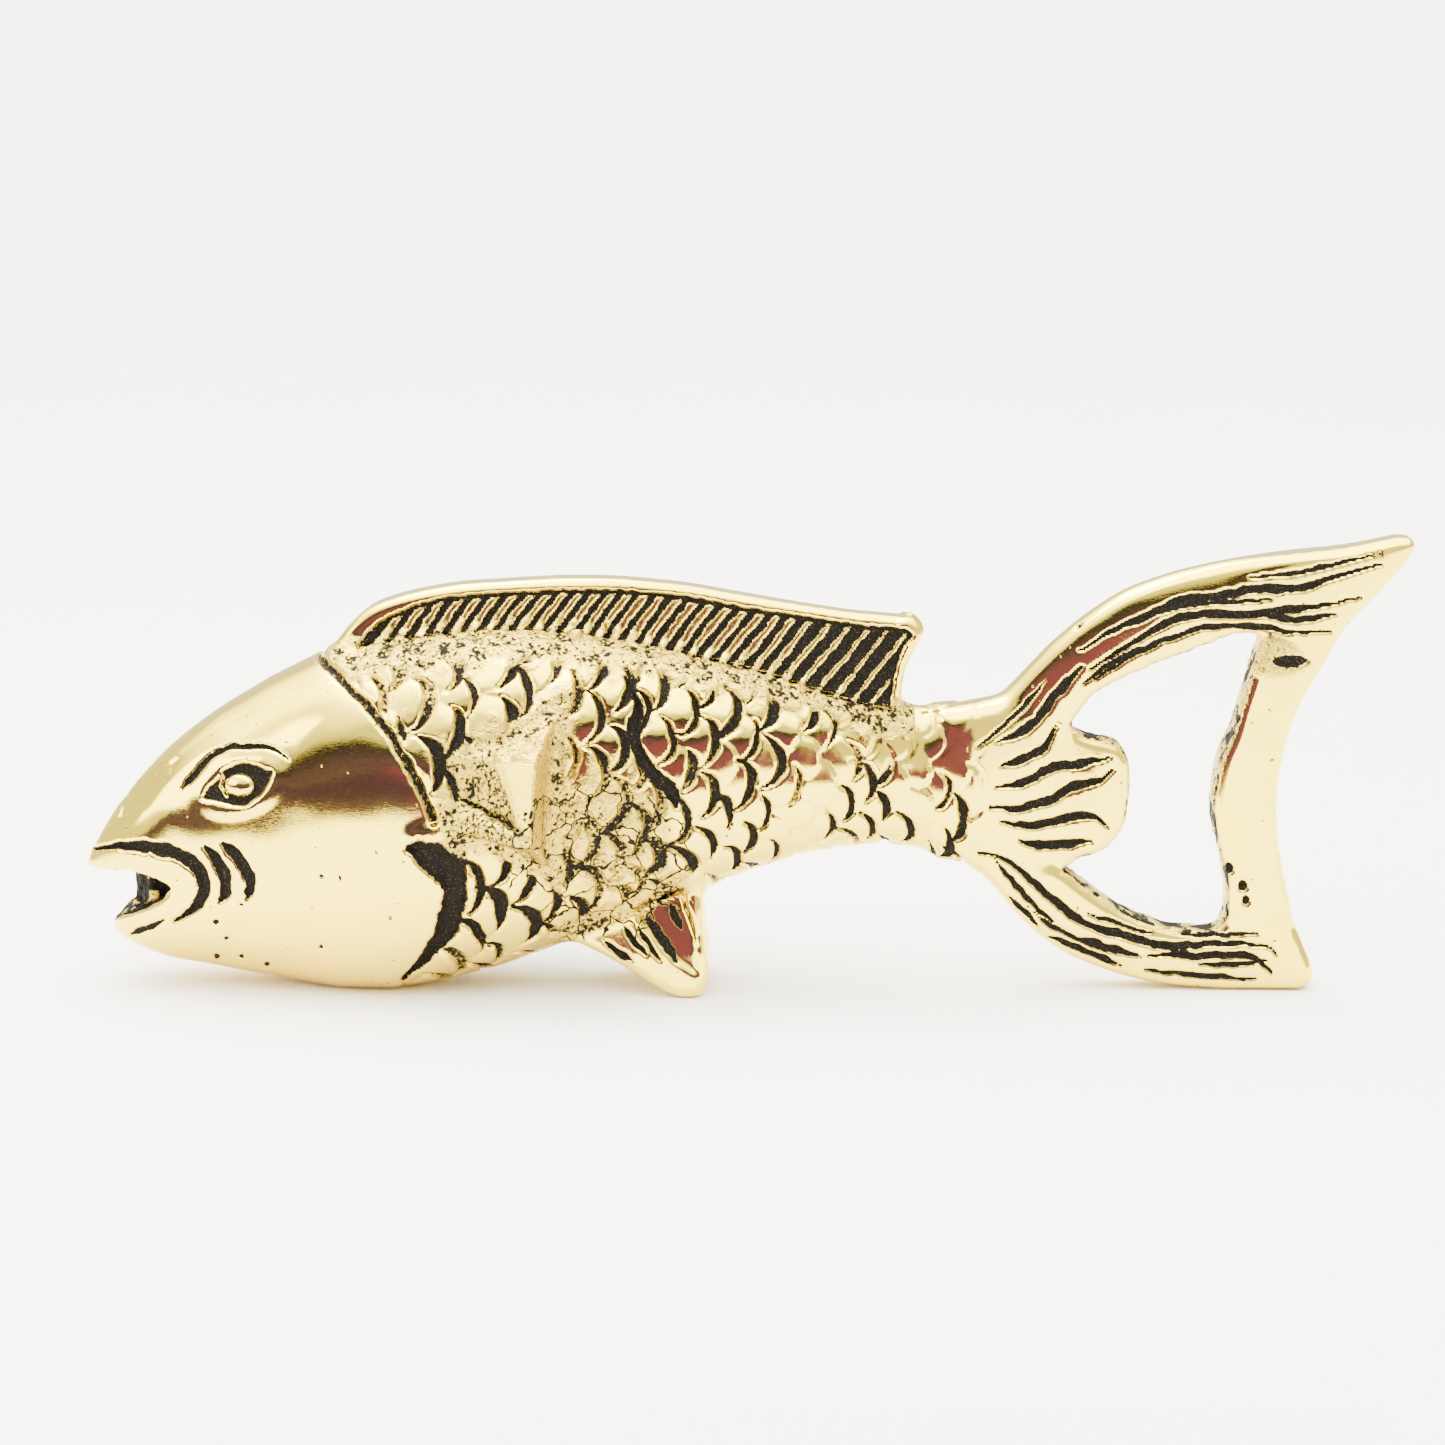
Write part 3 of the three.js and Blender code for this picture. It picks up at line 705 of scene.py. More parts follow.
def chisel_scales(r):
    """Rows of overlapping scales: each swells towards its rear edge, where a groove is cut."""
    pick = np.flatnonzero((r.x > 24) & (r.x < 108))
    x, y, z = r.place[:, pick]
    side = r.side[pick]
    flank = side + 3  # gives each flank its own scatter
    stations = np.arange(*BODY_REACH, STATION_STEP)
    growth = np.interp(stations, *np.array(GROWTH).T)
    lengths = np.cumsum(STATION_STEP / growth)
    s = np.interp(x, stations, lengths)
    t = round_body(x, y, z) / np.interp(x, stations, growth) + 0.9 * np.sin((x - 30) / 26)
    s = s + 0.4 * noise(x, 7.0 * side, z, 2.6, 5) + 0.12 * noise(x, 7.0 * side, z, 0.9, 7)
    t = t + 0.4 * noise(x, 7.0 * side, z, 2.6, 6) + 0.12 * noise(x, 7.0 * side, z, 0.9, 9)
    row0 = np.floor(t / ROW + 0.5).astype(int)
    ringed = 1 - ease(0.6, 1.1, np.hypot((x - 58) / 11, (z - 19) / 10))  # dull rings behind the fin
    best = np.full(len(pick), 1e9)
    ramp = np.zeros(len(pick))
    cut = np.zeros(len(pick))
    for di in (-1, 0, 1):
        row = row0 + di
        offset = PITCH * 0.5 * (row % 2)
        col0 = np.floor((s - offset) / PITCH + 0.5).astype(int)
        for dj in (-1, 0, 1):
            col = col0 + dj
            dice = [lattice(row, col, flank, 20 + n) for n in range(5)]
            cx = col * PITCH + offset + 1.5 * (dice[0] - 0.5)
            ct = row * ROW + 1.0 * (dice[1] - 0.5)
            radius = SCALE * (0.84 + 0.34 * dice[2])
            tilt = 0.8 * (dice[3] - 0.5)
            u, w = s - cx, t - ct
            u, w = u * np.cos(tilt) + w * np.sin(tilt), -u * np.sin(tilt) + w * np.cos(tilt)
            away = np.hypot(u * 1.12, w)
            angle = np.abs(np.arctan2(w, u))
            covers = (away < radius) & (cx < best)
            best = np.where(covers, cx, best)
            swell = (0.5 + 0.5 * u / radius) * (1 - 0.55 * (w / radius) ** 2)
            ramp = np.where(covers, swell, ramp)
            opening_angle = 0.95 + 0.5 * dice[4] + 0.5 * ringed
            thin = ease(opening_angle, 0.3, angle)
            half = 0.16 + 0.1 * ringed + (0.26 + 0.48 * lattice(row, col, flank, 25)) * thin
            mark = ease(1.3, 0.45, np.abs(away - radius - 0.1) / half)
            mark = mark * ease(opening_angle + 0.12, opening_angle - 0.1, angle)
            front = (cx < best + 0.5) & ((x < 70) | (lattice(row, col, flank, 26) > 0.22))
            cut = np.maximum(cut, mark * front)
    body = body_field(x, y, z)
    others = np.minimum.reduce([FIELDS[n](x, y, z) for n in ("dorsal", "pectoral", "pelvic")])
    edge = ease(0.3, 1.8, others - body)
    behind = ease(0.4, 1.3, gill_side(r.x[pick], r.z[pick]))
    end = ease(100.5, 98, x)
    under_fin = ease(1.6, 3.4, BACK(x) - z + 1.0 * noise(x, side * 3.0, z, 2.0, 8))
    worn = ease(83, 91, x) * ease(24, 27, z)
    zone = edge * behind * end * np.where(x < 93, under_fin, 1) * (1 - 0.8 * worn)
    filled = 0.72 - 0.17 * ringed + 0.5 * (1 - 0.7 * ringed) * noise(x, side * 3.0, z, 5.0, 10)
    under = ease(-0.98, -0.75, section(x, y, z)[2])
    swollen = 0.5 + 0.45 * np.maximum(ease(52, 44, x), ease(3, 7, t))
    r.height[pick] += zone * (swollen * (ramp - 0.45) * (1 - cut) * under - 0.5 * cut)
    r.ink[pick] = np.maximum(r.ink[pick], zone * cut * np.clip(filled, 0.45, 1))


def chisel_marks(r):
    """Single marks on the left flank: a deep jagged cut, and two beads of metal below the fin."""
    left = r.side < 0
    jagged = [[60.3, 34.9], [61.6, 31.7], [61.1, 28.3], [63, 24.4], [65.4, 22], [65.9, 20.3]]
    r.groove(left, jagged, 1.5, 0.7, (0.35, 0.1))
    for centre, size in (([54.6, 39.8], 0.85), ([58.4, 40.7], 0.55)):
        bead = spot(r.x, r.z, centre, size, size) * left
        r.patch(bead, height=0.8)
        r.ink *= 1 - bead


def chisel_pectoral(r):
    """The wedge's facet is filed, and the rest of it stays rough, as cast; its back wall is darker still, as
    painted shade.
    """
    x, y, z = r.place
    near_fin = ease(0.5, 0.1, pectoral_field(x, y, z)) * ease(0.4, 1.0, body_field(x, y, z))
    near_fin = near_fin * (x < 60)
    walls = [normal @ [x, np.abs(y), z] - reach for normal, reach in PECTORAL_WALLS]
    facet, _, back, top, _ = walls
    on_facet = ease(-0.1, 0.1, facet - np.maximum.reduce(walls[1:])) * ease(-0.4, -0.2, facet)
    r.filed = np.maximum(r.filed, on_facet * near_fin)
    as_cast = near_fin * (1 - on_facet)
    lumps = 0.7 * noise(x, y, z, 0.7, 81) + 0.5 * noise(x, y, z, 1.6, 82)
    on_top = ease(0.6, 0.2, np.abs(top))
    r.patch(on_top * as_cast, rough=1.0)
    r.patch(on_top * as_cast * lumps, height=0.3)
    # Painted shade: the back wall faces away from the light, so it is made rougher still, and that darkens its
    # colour further towards tarnished brass.
    r.patch(ease(0.6, 0.2, np.abs(back)) * as_cast, rough=0.9)
    on_ramp = ease(49.5, 47.5, x) * (1 - on_top * near_fin)
    r.patch(as_cast, rough=0.8)
    r.patch(as_cast * (0.41 + 0.08 * on_ramp), ink=1.0)
    for centre in ([49.0, 19.4], [49.5, 18.1]):
        r.patch(spot(r.x, r.z, centre, 0.3, 0.3) * near_fin, height=-0.2, ink=1.0)


def chisel_rough(r):
    """Metal that the files never reached: under the dorsal fin and round the other fins' roots."""
    x, y, z = r.place
    body = body_field(x, y, z)
    ragged = 0.9 * noise(x, y, z, 1.9, 31) + 0.5 * noise(x, y, z, 0.8, 32)
    below_back = BACK(x) - z + ragged
    below_fin = ease(4.4, 2.4, below_back) * ease(-1.2, 0.3, below_back) * (x > 27) * (x < 92)
    round_pectoral = ease(3.0, 0.4, pectoral_field(x, y, z) + ragged) * (body < 0.9)
    behind_pectoral = 1 - ease(0.5, 1.0, np.hypot((x - 58) / 9.5, (z - 20) / 9.5) + 0.2 * ragged)
    round_pelvic = ease(3.6, 0.6, pelvic_field(x, y, z) + ragged) * (body < 0.9)
    round_pelvic = round_pelvic * ease(69.5, 66, x)
    zones = [below_fin, round_pectoral, 0.85 * behind_pectoral, round_pelvic]
    mask = np.clip(np.maximum.reduce(zones), 0, 1) * ease(0.3, 1.2, gill_side(r.x, r.z))
    grain = 0.7 * noise(x, y, z, 0.6, 33) + 0.5 * noise(x, y, z, 1.3, 34)
    r.height += mask * 0.18 * grain
    r.rough = np.maximum(r.rough, mask)
    r.ink = np.maximum(r.ink, mask * (0.43 + 0.12 * ease(0.1, -0.4, grain)))
    r.cracked += 1 - ease(0.6, 1.1, np.hypot((r.x - 57) / 13, (r.z - 14) / 11))


def chisel_dorsal(r):
    """Slanted rays in a dark panel below the fin's rounded rim."""
    x, y, z = r.place
    rim = -dorsal_outer(x, z)
    rise = z - BACK(x)
    on_fin = (dorsal_field(x, y, z) < 0.7) & (x > 26) & (x < 92.5)
    rim_width = 1.15 + 0.9 * ease(40, 30, x) + 0.15 * r.wobble
    inside = ease(rim_width - 0.15, rim_width + 0.2, rim)
    bottom = ease(-0.9, -0.3, rise + 0.3 * noise(x, y, z, 1.6, 43))
    panel = inside * bottom * ease(0.45, 0.7, r.flank) * on_fin
    slant = x - 0.78 * (z - 42) + 0.25 * noise(x, 4.0 * r.side, z, 5.0, 41)
    phase = np.interp(slant, [20, 60, 80, 100], [0, 22.4, 32.2, 40.8])  # counts the rays
    phase = phase + 0.06 * noise(x, 6.0 * r.side, z, 1.6, 42)
    ray = 1 - np.abs(phase - np.floor(phase) - 0.5) * 2  # 1 on a ray's crest, 0 between two rays
    gap = 0.18 + 0.3 * ease(70, 88, x)
    crest = ease(gap, gap + 0.35, ray + 0.15 * r.wobble)
    fade = ease(0.0, 0.7, rim - rim_width)
    r.height += panel * (0.4 * crest * fade - 0.55)
    r.ink = np.maximum(r.ink, panel * (1 - 0.68 * crest * fade))
    knob = ease(1.9, 1.0, np.hypot(x - 91.6, z - 40.9))
    r.height += knob * 0.45 * (r.flank > 0.3)


TAIL_LINES = [  # each with its points, width and depth
    # the upper lobe
    ([[110.3, 38.3], [114.4, 40.8], [118.6, 42.6], [121.9, 44.2], [126.1, 44.6], [129, 45.3], [134.3, 45.5],
      [138.6, 46.9], [143.4, 48.1]], 0.8, 0.35),
    ([[111.6, 36.2], [116.6, 39.4], [120.7, 41.8], [124.4, 42.5], [129, 42.5], [134.3, 43.2], [138.3, 43.8],
      [141.4, 44.4]], 0.75, 0.35),
    ([[112, 34.9], [117.8, 38.6], [121.9, 40.3], [125.2, 41.1], [130.2, 41.1], [134.3, 40.5], [138.1, 40.8]],
     0.55, 0.3),
    ([[102, 25.2], [106.1, 26.8], [108.2, 29.8]], 0.75, 0.4),
    ([[101.6, 27.9], [105.3, 29.9], [107.8, 33.2], [110.8, 36.6]], 0.9, 0.4),
    ([[118.4, 42.4], [123, 43.6], [127.5, 43.9], [132, 44.4]], 0.45, 0.25),
    ([[128.5, 46.5], [134, 47.2], [139, 48.4], [143.5, 49.4]], 0.4, 0.25),
    ([[130.5, 42.2], [134.5, 42], [138.8, 42.6]], 0.6, 0.3),
    ([[110.9, 34.6], [114.5, 37.2], [119, 39.2]], 0.5, 0.3),
    ([[99.4, 27.2], [101.6, 29.4], [104.2, 31.8], [106.8, 35]], 0.45, 0.25),
    # the lower lobe
    ([[99.6, 15.3], [102.9, 14.4], [105.8, 12], [108.7, 9.4], [112.3, 6.9], [117, 5.6], [121.6, 4.5],
      [127.5, 4.9], [132.4, 4.5], [133.4, 3.7]], 0.75, 0.35),
    ([[101.6, 14.4], [104.6, 10.7], [108.2, 7.3]], 0.55, 0.3),
    ([[111.1, 5.4], [117.8, 3.4]], 0.6, 0.3),
    ([[119, 3.5], [124.8, 3.4], [130.2, 3.4], [133.1, 1.5]], 0.7, 0.35),
    ([[103.2, 10.2], [106.6, 6.8]], 0.5, 0.3),
    ([[107.8, 5.6], [116.1, 2.2]], 0.6, 0.3),
    ([[118.6, 1.7], [124.8, 1.2], [131.4, 0.7]], 0.5, 0.25),
    ([[105.2, 9], [109, 6.3], [113.8, 4.2], [118.5, 3.1]], 0.4, 0.25),
    ([[122.6, 5.9], [127.2, 5.9], [131.2, 6]], 0.45, 0.25),
    ([[112, 8.4], [116, 6.9], [119.8, 6.0]], 0.4, 0.25),
    ([[124.5, 2.4], [129, 2.4], [132.4, 2.9]], 0.45, 0.25),
    # the tongue
    ([[101.4, 22.7], [104.9, 23.5], [107.8, 25], [110.3, 25.5], [114, 26.2]], 0.85, 0.4),
    ([[100.8, 20.6], [103.7, 20.3], [107.4, 21.3], [109.9, 22.8], [112.8, 23.5], [114.4, 24.7]], 0.85, 0.4),
    ([[102, 18.8], [105.3, 18.4], [107.8, 18.8], [110.3, 19.6], [112.8, 19.4], [114, 18.3]], 0.8, 0.4),
    ([[104.1, 16.7], [106.1, 16.1], [109.1, 16.2], [112.3, 16.6]], 0.8, 0.4),
]
TAIL_MARKS = [
    ([133.8, 37.3], 2.45, 0.75), ([127.8, 13.6], 0.55, 0.75), ([129.5, 11.5], 0.65, 0.75),
    ([129.7, 9.9], 0.55, 0.6), ([109.5, 41.2], 1.25, 0.6),
]


def chisel_tail(r):
    """Grooves along both lobes and across the tongue, dark nicks, and the opening's rough wall."""
    tail = (r.x > 96) & (r.flank > 0.45)
    for points, width, depth in TAIL_LINES:
        r.groove(tail, points, 1.25 * width, depth)
    for centre, across, tall in TAIL_MARKS:
        r.patch(spot(r.wander_x, r.wander_z, centre, across, tall) * tail, height=-0.3, ink=1.0)
    x, y, z = r.place
    wall = ease(0.9, 0.4, np.abs(opening(x, z))) * ease(0.85, 0.5, r.flank) * (x > 105)
    lumps = 0.6 * noise(x, y, z, 0.8, 71) + 0.5 * noise(x, y, z, 2.2, 72)
    bar_top = spot(r.x, r.z, [131.5, 37.6], 5.0, 2.8, -12) * tail
    r.patch(bar_top, rough=0.7, ink=0.4)
    r.patch(wall, rough=1.0)
    r.patch(wall * (0.45 - 0.6 * lumps), ink=1.0)
    r.patch(wall * lumps, height=0.22)


PELVIC_LINES = [  # each with its points and width
    ([[62.6, 7.4], [63.8, 5.6], [65.2, 3.6], [66.0, 2.2]], 1.1),
    ([[65.2, 9.0], [65.8, 7.4], [66.5, 6.0]], 1.0),
    ([[60.0, 6.4], [61.2, 4.8], [62.6, 3.2]], 0.8),
    ([[57.8, 4.6], [59.4, 3.4], [60.9, 2.4]], 0.8),
    ([[61.6, 6.4], [62.8, 4.4], [64.2, 2.4]], 0.5),
]


def chisel_pelvic(r):
    """A dished facet on each blade's outer face, with rays across it."""
    x, y, z = r.place
    outward = (pelvic_field(x, y, z) < 0.5) & (np.abs(y) > pelvic_middle(z))
    facet = outline([[60.9, 8.3], [64.9, 11.2], [66.7, 11.1]],
                    [[66.7, 11.1], [68.2, 6], [68.6, 2.1], [68, 0.8], [65.6, 2.2], [63.2, 5.1], [60.9, 8.3]])
    dish = ease(0.2, -0.9, outline_distance(r.wander_x, r.wander_z, facet)) * outward
    r.patch(dish, height=-0.25 - 0.11 * np.clip(r.z, 0, 12))
    for points, width in PELVIC_LINES:
        r.groove(outward, points, width, 0.45)


CUTS = [  # in the order that they are made, since later ones cut through earlier ones
    chisel_scales, chisel_rough, chisel_marks, chisel_pectoral, chisel_dorsal, chisel_head, chisel_gill,
    chisel_tail, chisel_pelvic,
]


def chisel(points, quads):
    """The finished surface, with its normals, ink and roughness."""
    normals = vertex_normals(points, quads)
    r = Relief(points, normals)
    for cut in CUTS:
        cut(r)
    r.height += 0.05 * noise(*points.T, 3.5, 50)  # hand polishing leaves it slightly wavy
    ground = ease(0.0, 0.6, points[:, 2])
    points = points + normals * (r.height * ground)[:, None]
    points[:, 2] = np.maximum(points[:, 2], 0)
    return points, vertex_normals(points, quads), r


# ---------------------------------------------------------------- pieces

# piece name: the frame's node that it stands for
PIECES = {f"cast_{node}": node for node in (
    "head", "trunk", "dorsal_fin", "left_eye", "right_eye", "left_pectoral_fin", "right_pectoral_fin",
    "left_pelvic_fin", "right_pelvic_fin", "upper_tail_lobe", "lower_tail_lobe", "lifting_bar", "cap_tongue",
)}


def region_of(x, y, z):
    """The piece that each place belongs to, as a number in PIECES' order."""
    part = np.array(list(FIELDS))[np.stack([field(x, y, z) for field in FIELDS.values()]).argmin(0)]
    seen_x, seen_z = seen(x, y, z)
    head = (part == "body") & (gill_side(seen_x, seen_z) < 0) & (x < 45)
    eye = head & (np.hypot((seen_x - EYE[0]) / 1.75, (seen_z - EYE[1]) / 1.35) < 1)
    tail = (part == "tail") & (x > 97)
    above_tongue = z > np.interp(x, [96, 102, 110.8], [27.4, 28.2, 31.1])
    below_tongue = z < np.interp(x, [96, 102, 110.2], [17.4, 16.4, 13.8])
    rear = tail & (x > 118)
    above_bar = z > np.interp(x, [120, 134], [36.5, 37.6])
    below_bar = z < 8.4
    regions = [
        (head, "head"), (part == "dorsal", "dorsal_fin"), (tail, "cap_tongue"),
        (tail & above_tongue, "upper_tail_lobe"), (tail & below_tongue, "lower_tail_lobe"),
        (rear, "lifting_bar"), (rear & above_bar, "upper_tail_lobe"), (rear & below_bar, "lower_tail_lobe"),
    ]
    for side, on_side in (("left", y < 0), ("right", y >= 0)):
        pairs = {"eye": eye, "pectoral_fin": part == "pectoral", "pelvic_fin": part == "pelvic"}
        regions += [(places & on_side, f"{side}_{name}") for name, places in pairs.items()]
    numbers = {node: number for number, node in enumerate(PIECES.values())}
    region = np.full(x.shape, numbers["trunk"])
    for places, node in regions:
        region[places] = numbers[node]
    return region


def cap_faces(quads, first_new):
    """Closes a piece's open edges with fans, each to one new point inside. Gives the fans and their rims."""
    starts, ends = quads.ravel(), np.roll(quads, -1, axis=1).ravel()
    keys, back = starts.astype(np.int64) << 32 | ends, ends.astype(np.int64) << 32 | starts
    open_edges = ~np.isin(keys, back)
    following = {}
    for a, b in zip(starts[open_edges], ends[open_edges]):
        following.setdefault(int(a), []).append(int(b))
    fans, rims = [], []
    while following:
        start = next(iter(following))
        loop = [start]
        while True:
            onward = following[loop[-1]].pop()
            if not following[loop[-1]]:
                del following[loop[-1]]
            if onward == start:
                break
            loop.append(onward)
        for a, b in zip(loop, loop[1:] + loop[:1]):
            fans.append((b, a, first_new + len(rims)))
        rims.append(loop)
    return fans, rims


def new_object(name, data):
    made = bpy.data.objects.new(name, data)
    bpy.context.scene.collection.objects.link(made)
    return made


def make_piece(name, points, normals, quads, relief, material):
    """One closed piece of the casting, shaded with the whole casting's normals so that no seam shows."""
    used, local = np.unique(quads, return_inverse=True)
    local = local.reshape(quads.shape)
    fans, rims = cap_faces(local, len(used))
    centres = [points[used[rim]].mean(0) for rim in rims]
    spots = in_frame(np.vstack([points[used], *[c[None] for c in centres]]))
    mesh = bpy.data.meshes.new(name)
    mesh.from_pydata(spots, [], local.tolist() + fans)
    mesh.update()
    mesh.shade_smooth()
    for label in ("ink", "rough", "filed", "cracked"):
        hidden = 1.0 if label == "ink" else 0.0  # at the middles of the closed ends, where nobody sees them
        values = np.append(getattr(relief, label)[used], np.full(len(rims), hidden))
        layer = mesh.attributes.new(label, "FLOAT", "POINT")
        layer.data.foreach_set("value", values.astype(np.float32))
    corner = np.zeros((len(mesh.loops), 3), np.float32)
    corner[:local.size] = normals[used][local.ravel()]
    mesh.normals_split_custom_set(corner.tolist())
    mesh.materials.append(material)
    piece = new_object(name, mesh)
    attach(piece, "root")
    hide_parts(PIECES[name])


def make_casting(material):
    points, quads = cast_surface()
    middle = points[quads].mean(1)
    region = region_of(*middle.T)
    points, normals, relief = chisel(points, quads)
    for number, name in enumerate(PIECES):
        make_piece(name, points, normals, quads[region == number], relief, material)


# ---------------------------------------------------------------- materials


class Nodes:
    """Short words for building a material's nodes."""

    def __init__(self, tree):
        self.tree = tree
        tree.nodes.clear()

    def add(self, kind, inputs=None, **settings):
        node = self.tree.nodes.new(kind)
        for key, value in settings.items():
            setattr(node, key, value)
        for key, value in (inputs or {}).items():
            if isinstance(value, bpy.types.NodeSocket):
                self.tree.links.new(value, node.inputs[key])
            else:
                node.inputs[key].default_value = value
        return node

    def math(self, operation, a, b):
        return self.add("ShaderNodeMath", {0: a, 1: b}, operation=operation).outputs[0]

    def plus(self, a, b):
        return self.math("ADD", a, b)

    def minus(self, a, b):
        return self.math("SUBTRACT", a, b)

    def times(self, a, b):
        return self.math("MULTIPLY", a, b)

    def larger(self, a, b):
        return self.math("MAXIMUM", a, b)

    def attribute(self, name):
        return self.add("ShaderNodeAttribute", attribute_name=name).outputs["Fac"]

    def place(self, kind="Object"):
        return self.add("ShaderNodeTexCoord").outputs[kind]

    def along(self, axis, place):
        return self.add("ShaderNodeSeparateXYZ", {"Vector": place}).outputs[axis]

    def stretched(self, place, scale, turn=(0, 0, 0)):
        inputs = {"Vector": place, "Rotation": turn, "Scale": scale}
        return self.add("ShaderNodeMapping", inputs).outputs["Vector"]

    def ramp(self, value, low, high):
        """0 at low, 1 at high, smooth between them."""
        inputs = {"Value": value, "From Min": low, "From Max": high}
        return self.add("ShaderNodeMapRange", inputs, interpolation_type="SMOOTHSTEP").outputs["Result"]

    def mix(self, share, a, b):
        node = self.add("ShaderNodeMix", {"Factor": share, "A": a, "B": b}, data_type="FLOAT")
        return node.outputs[0]

    def mix_colour(self, share, a, b):
        node = self.add("ShaderNodeMix", data_type="RGBA")
        for socket, value in ((node.inputs[0], share), (node.inputs[6], a), (node.inputs[7], b)):
            if isinstance(value, bpy.types.NodeSocket):
                self.tree.links.new(value, socket)
            else:
                socket.default_value = value
        return node.outputs[2]

    def noise(self, place, scale, detail=2.0, output="Fac"):
        inputs = {"Vector": place, "Scale": scale, "Detail": detail}
        return self.add("ShaderNodeTexNoise", inputs).outputs[output]

    def surface(self, shader, output):
        self.add("ShaderNodeOutputMaterial", {"Surface": shader.outputs[output]})

    def bump(self, height, strength, distance):
        inputs = {"Height": height, "Distance": distance, "Strength": strength}
        return self.add("ShaderNodeBump", inputs).outputs["Normal"]


def new_material(name):
    material = bpy.data.materials.new(name)
    material.use_nodes = True
    return material, Nodes(material.node_tree)


def file_strokes(n, place):
    """The strokes that a file left."""
    inputs = {"Vector": place, "Scale": 0.9 / UNIT, "Distortion": 2.5, "Detail": 1.0}
    return n.add("ShaderNodeTexWave", inputs, bands_direction="Z").outputs["Fac"]


def hairline_web(n, place, cracked):
    """Thin dark lines that meet like a web, where the surface is marked as cracked."""
    swirl = n.noise(place, 0.5 / UNIT, output="Color")
    shift = n.add("ShaderNodeVectorMath", {0: swirl, "Scale": 2.0 * UNIT}, operation="SCALE")
    moved = {0: place, 1: shift.outputs["Vector"]}
    bent = n.add("ShaderNodeVectorMath", moved, operation="ADD").outputs["Vector"]
    inputs = {"Vector": bent, "Scale": 0.24 / UNIT}
    web = n.add("ShaderNodeTexVoronoi", inputs, feature="DISTANCE_TO_EDGE").outputs["Distance"]
    uneven = n.minus(n.noise(place, 0.35 / UNIT), 0.5)
    return n.times(n.ramp(web, 0.035, 0.015), n.ramp(n.plus(cracked, uneven), 0.45, 0.6))


def brass_material():
    """Polished brass. Dark patina fills the grooves, pits and grain, and fine scratches cross the polish."""
    material, n = new_material("patinated_brass")
    place = n.place()
    ink, rough, filed, cracked = (n.attribute(name) for name in ("ink", "rough", "filed", "cracked"))

    grain = n.noise(place, 2.5 / UNIT, 5.0)
    crumbs = n.noise(place, 5.5 / UNIT)
    clouds = n.noise(place, 0.12 / UNIT)
    pits = n.ramp(n.noise(place, 1.25 / UNIT, 1.0), 0.755, 0.79)

    ragged = n.plus(ink, n.times(n.minus(grain, 0.5), 0.75))
    in_groove = n.ramp(ragged, 0.44, 0.56)
    patina = n.larger(n.larger(in_groove, hairline_web(n, place, cracked)), n.times(pits, 0.8))
    dulled = n.larger(n.times(rough, 0.6), n.times(n.ramp(ragged, 0.12, 0.5), 0.7))

    polished = n.mix_colour(clouds, (0.95, 0.70, 0.045, 1), (0.95, 0.74, 0.085, 1))
    # The tarnished brass is real tarnish round the grooves and on as-cast metal; on the pectoral wedge's back
    # wall it is partly painted shade.
    tarnished = n.mix_colour(dulled, polished, (0.50, 0.34, 0.05, 1))
    crust = n.mix_colour(n.ramp(crumbs, 0.55, 0.75), (0.005, 0.004, 0.0025, 1), (0.05, 0.038, 0.02, 1))
    colour = n.mix_colour(patina, tarnished, crust)

    scratches = n.noise(n.stretched(place, (1.0, 1.0, 9.0), (0.3, 0.5, 0.2)), 1.6 / UNIT, 4.0)
    polish = n.mix(n.ramp(scratches, 0.35, 0.75), 0.05, 0.13)
    shine = n.mix(patina, n.mix(n.larger(dulled, filed), polish, 0.38), 0.6)

    lumps = n.times(rough, n.plus(grain, n.times(crumbs, 0.5)))
    height = n.plus(n.times(lumps, 0.22), n.times(scratches, 0.004))
    height = n.minus(height, n.times(pits, 0.10))
    height = n.minus(height, n.times(in_groove, n.times(crumbs, 0.12)))
    height = n.plus(height, n.times(n.times(file_strokes(n, place), filed), 0.06))

    shader = n.add("ShaderNodeBsdfPrincipled", {
        "Base Color": colour, "Metallic": n.mix(patina, 1.0, 0.0), "Roughness": shine,
        "Specular IOR Level": 0.06, "Normal": n.bump(height, 1.0, UNIT),
    })
    n.surface(shader, "BSDF")
    return material


def cloth_material():
    """Plain off-white cloth."""
    material, n = new_material("pale_cloth")
    place = n.place()
    colour = n.mix_colour(n.noise(place, 0.02 / UNIT), (0.89, 0.875, 0.84, 1), (0.92, 0.905, 0.875, 1))
    inputs = {"Vector": place, "Scale": 0.35 / UNIT, "Distortion": 1.5}
    threads = n.add("ShaderNodeTexWave", inputs).outputs["Fac"]
    weave = n.plus(n.times(threads, 0.4), n.noise(place, 1.2 / UNIT, 3.0))
    bump = n.bump(weave, 0.5, 0.12 * UNIT)
    shader = n.add("ShaderNodeBsdfPrincipled", {"Base Color": colour, "Roughness": 0.85, "Normal": bump})
    n.surface(shader, "BSDF")
    return material


def card_material():
    """A dim card, dark above and purple-red below, seen only as a reflection in the polish."""
    material, n = new_material("dim_card")
    place = n.place("Generated")
    uneven = n.times(n.minus(n.noise(place, 4.0), 0.5), 0.5)
    streak = n.noise(n.stretched(place, (1.5, 1.0, 16.0)), 1.0, 1.0)
    maroon = n.mix_colour(n.ramp(streak, 0.5, 0.62), (0.13, 0.075, 0.6, 1), (0.28, 0.20, 0.85, 1))
    high = n.plus(n.along("Z", place), uneven)
    across = n.plus(n.along("X", place), uneven)
    upper = n.mix_colour(n.ramp(high, 0.42, 0.5), maroon, (0.07, 0.062, 0.26, 1))
    red_corner = n.times(n.ramp(across, 0.75, 0.79), n.ramp(high, 0.34, 0.28))
    colour = n.mix_colour(red_corner, upper, (0.40, 0.12, 0.95, 1))
    shader = n.add("ShaderNodeEmission", {"Color": colour, "Strength": 1.0})
    n.surface(shader, "Emission")
    return material


# ---------------------------------------------------------------- stage, light and camera


def flat_mesh(name, corners, material):
    mesh = bpy.data.meshes.new(name)
    mesh.from_pydata(corners, [], [tuple(range(len(corners)))])
    mesh.materials.append(material)
    made = new_object(name, mesh)
    return made


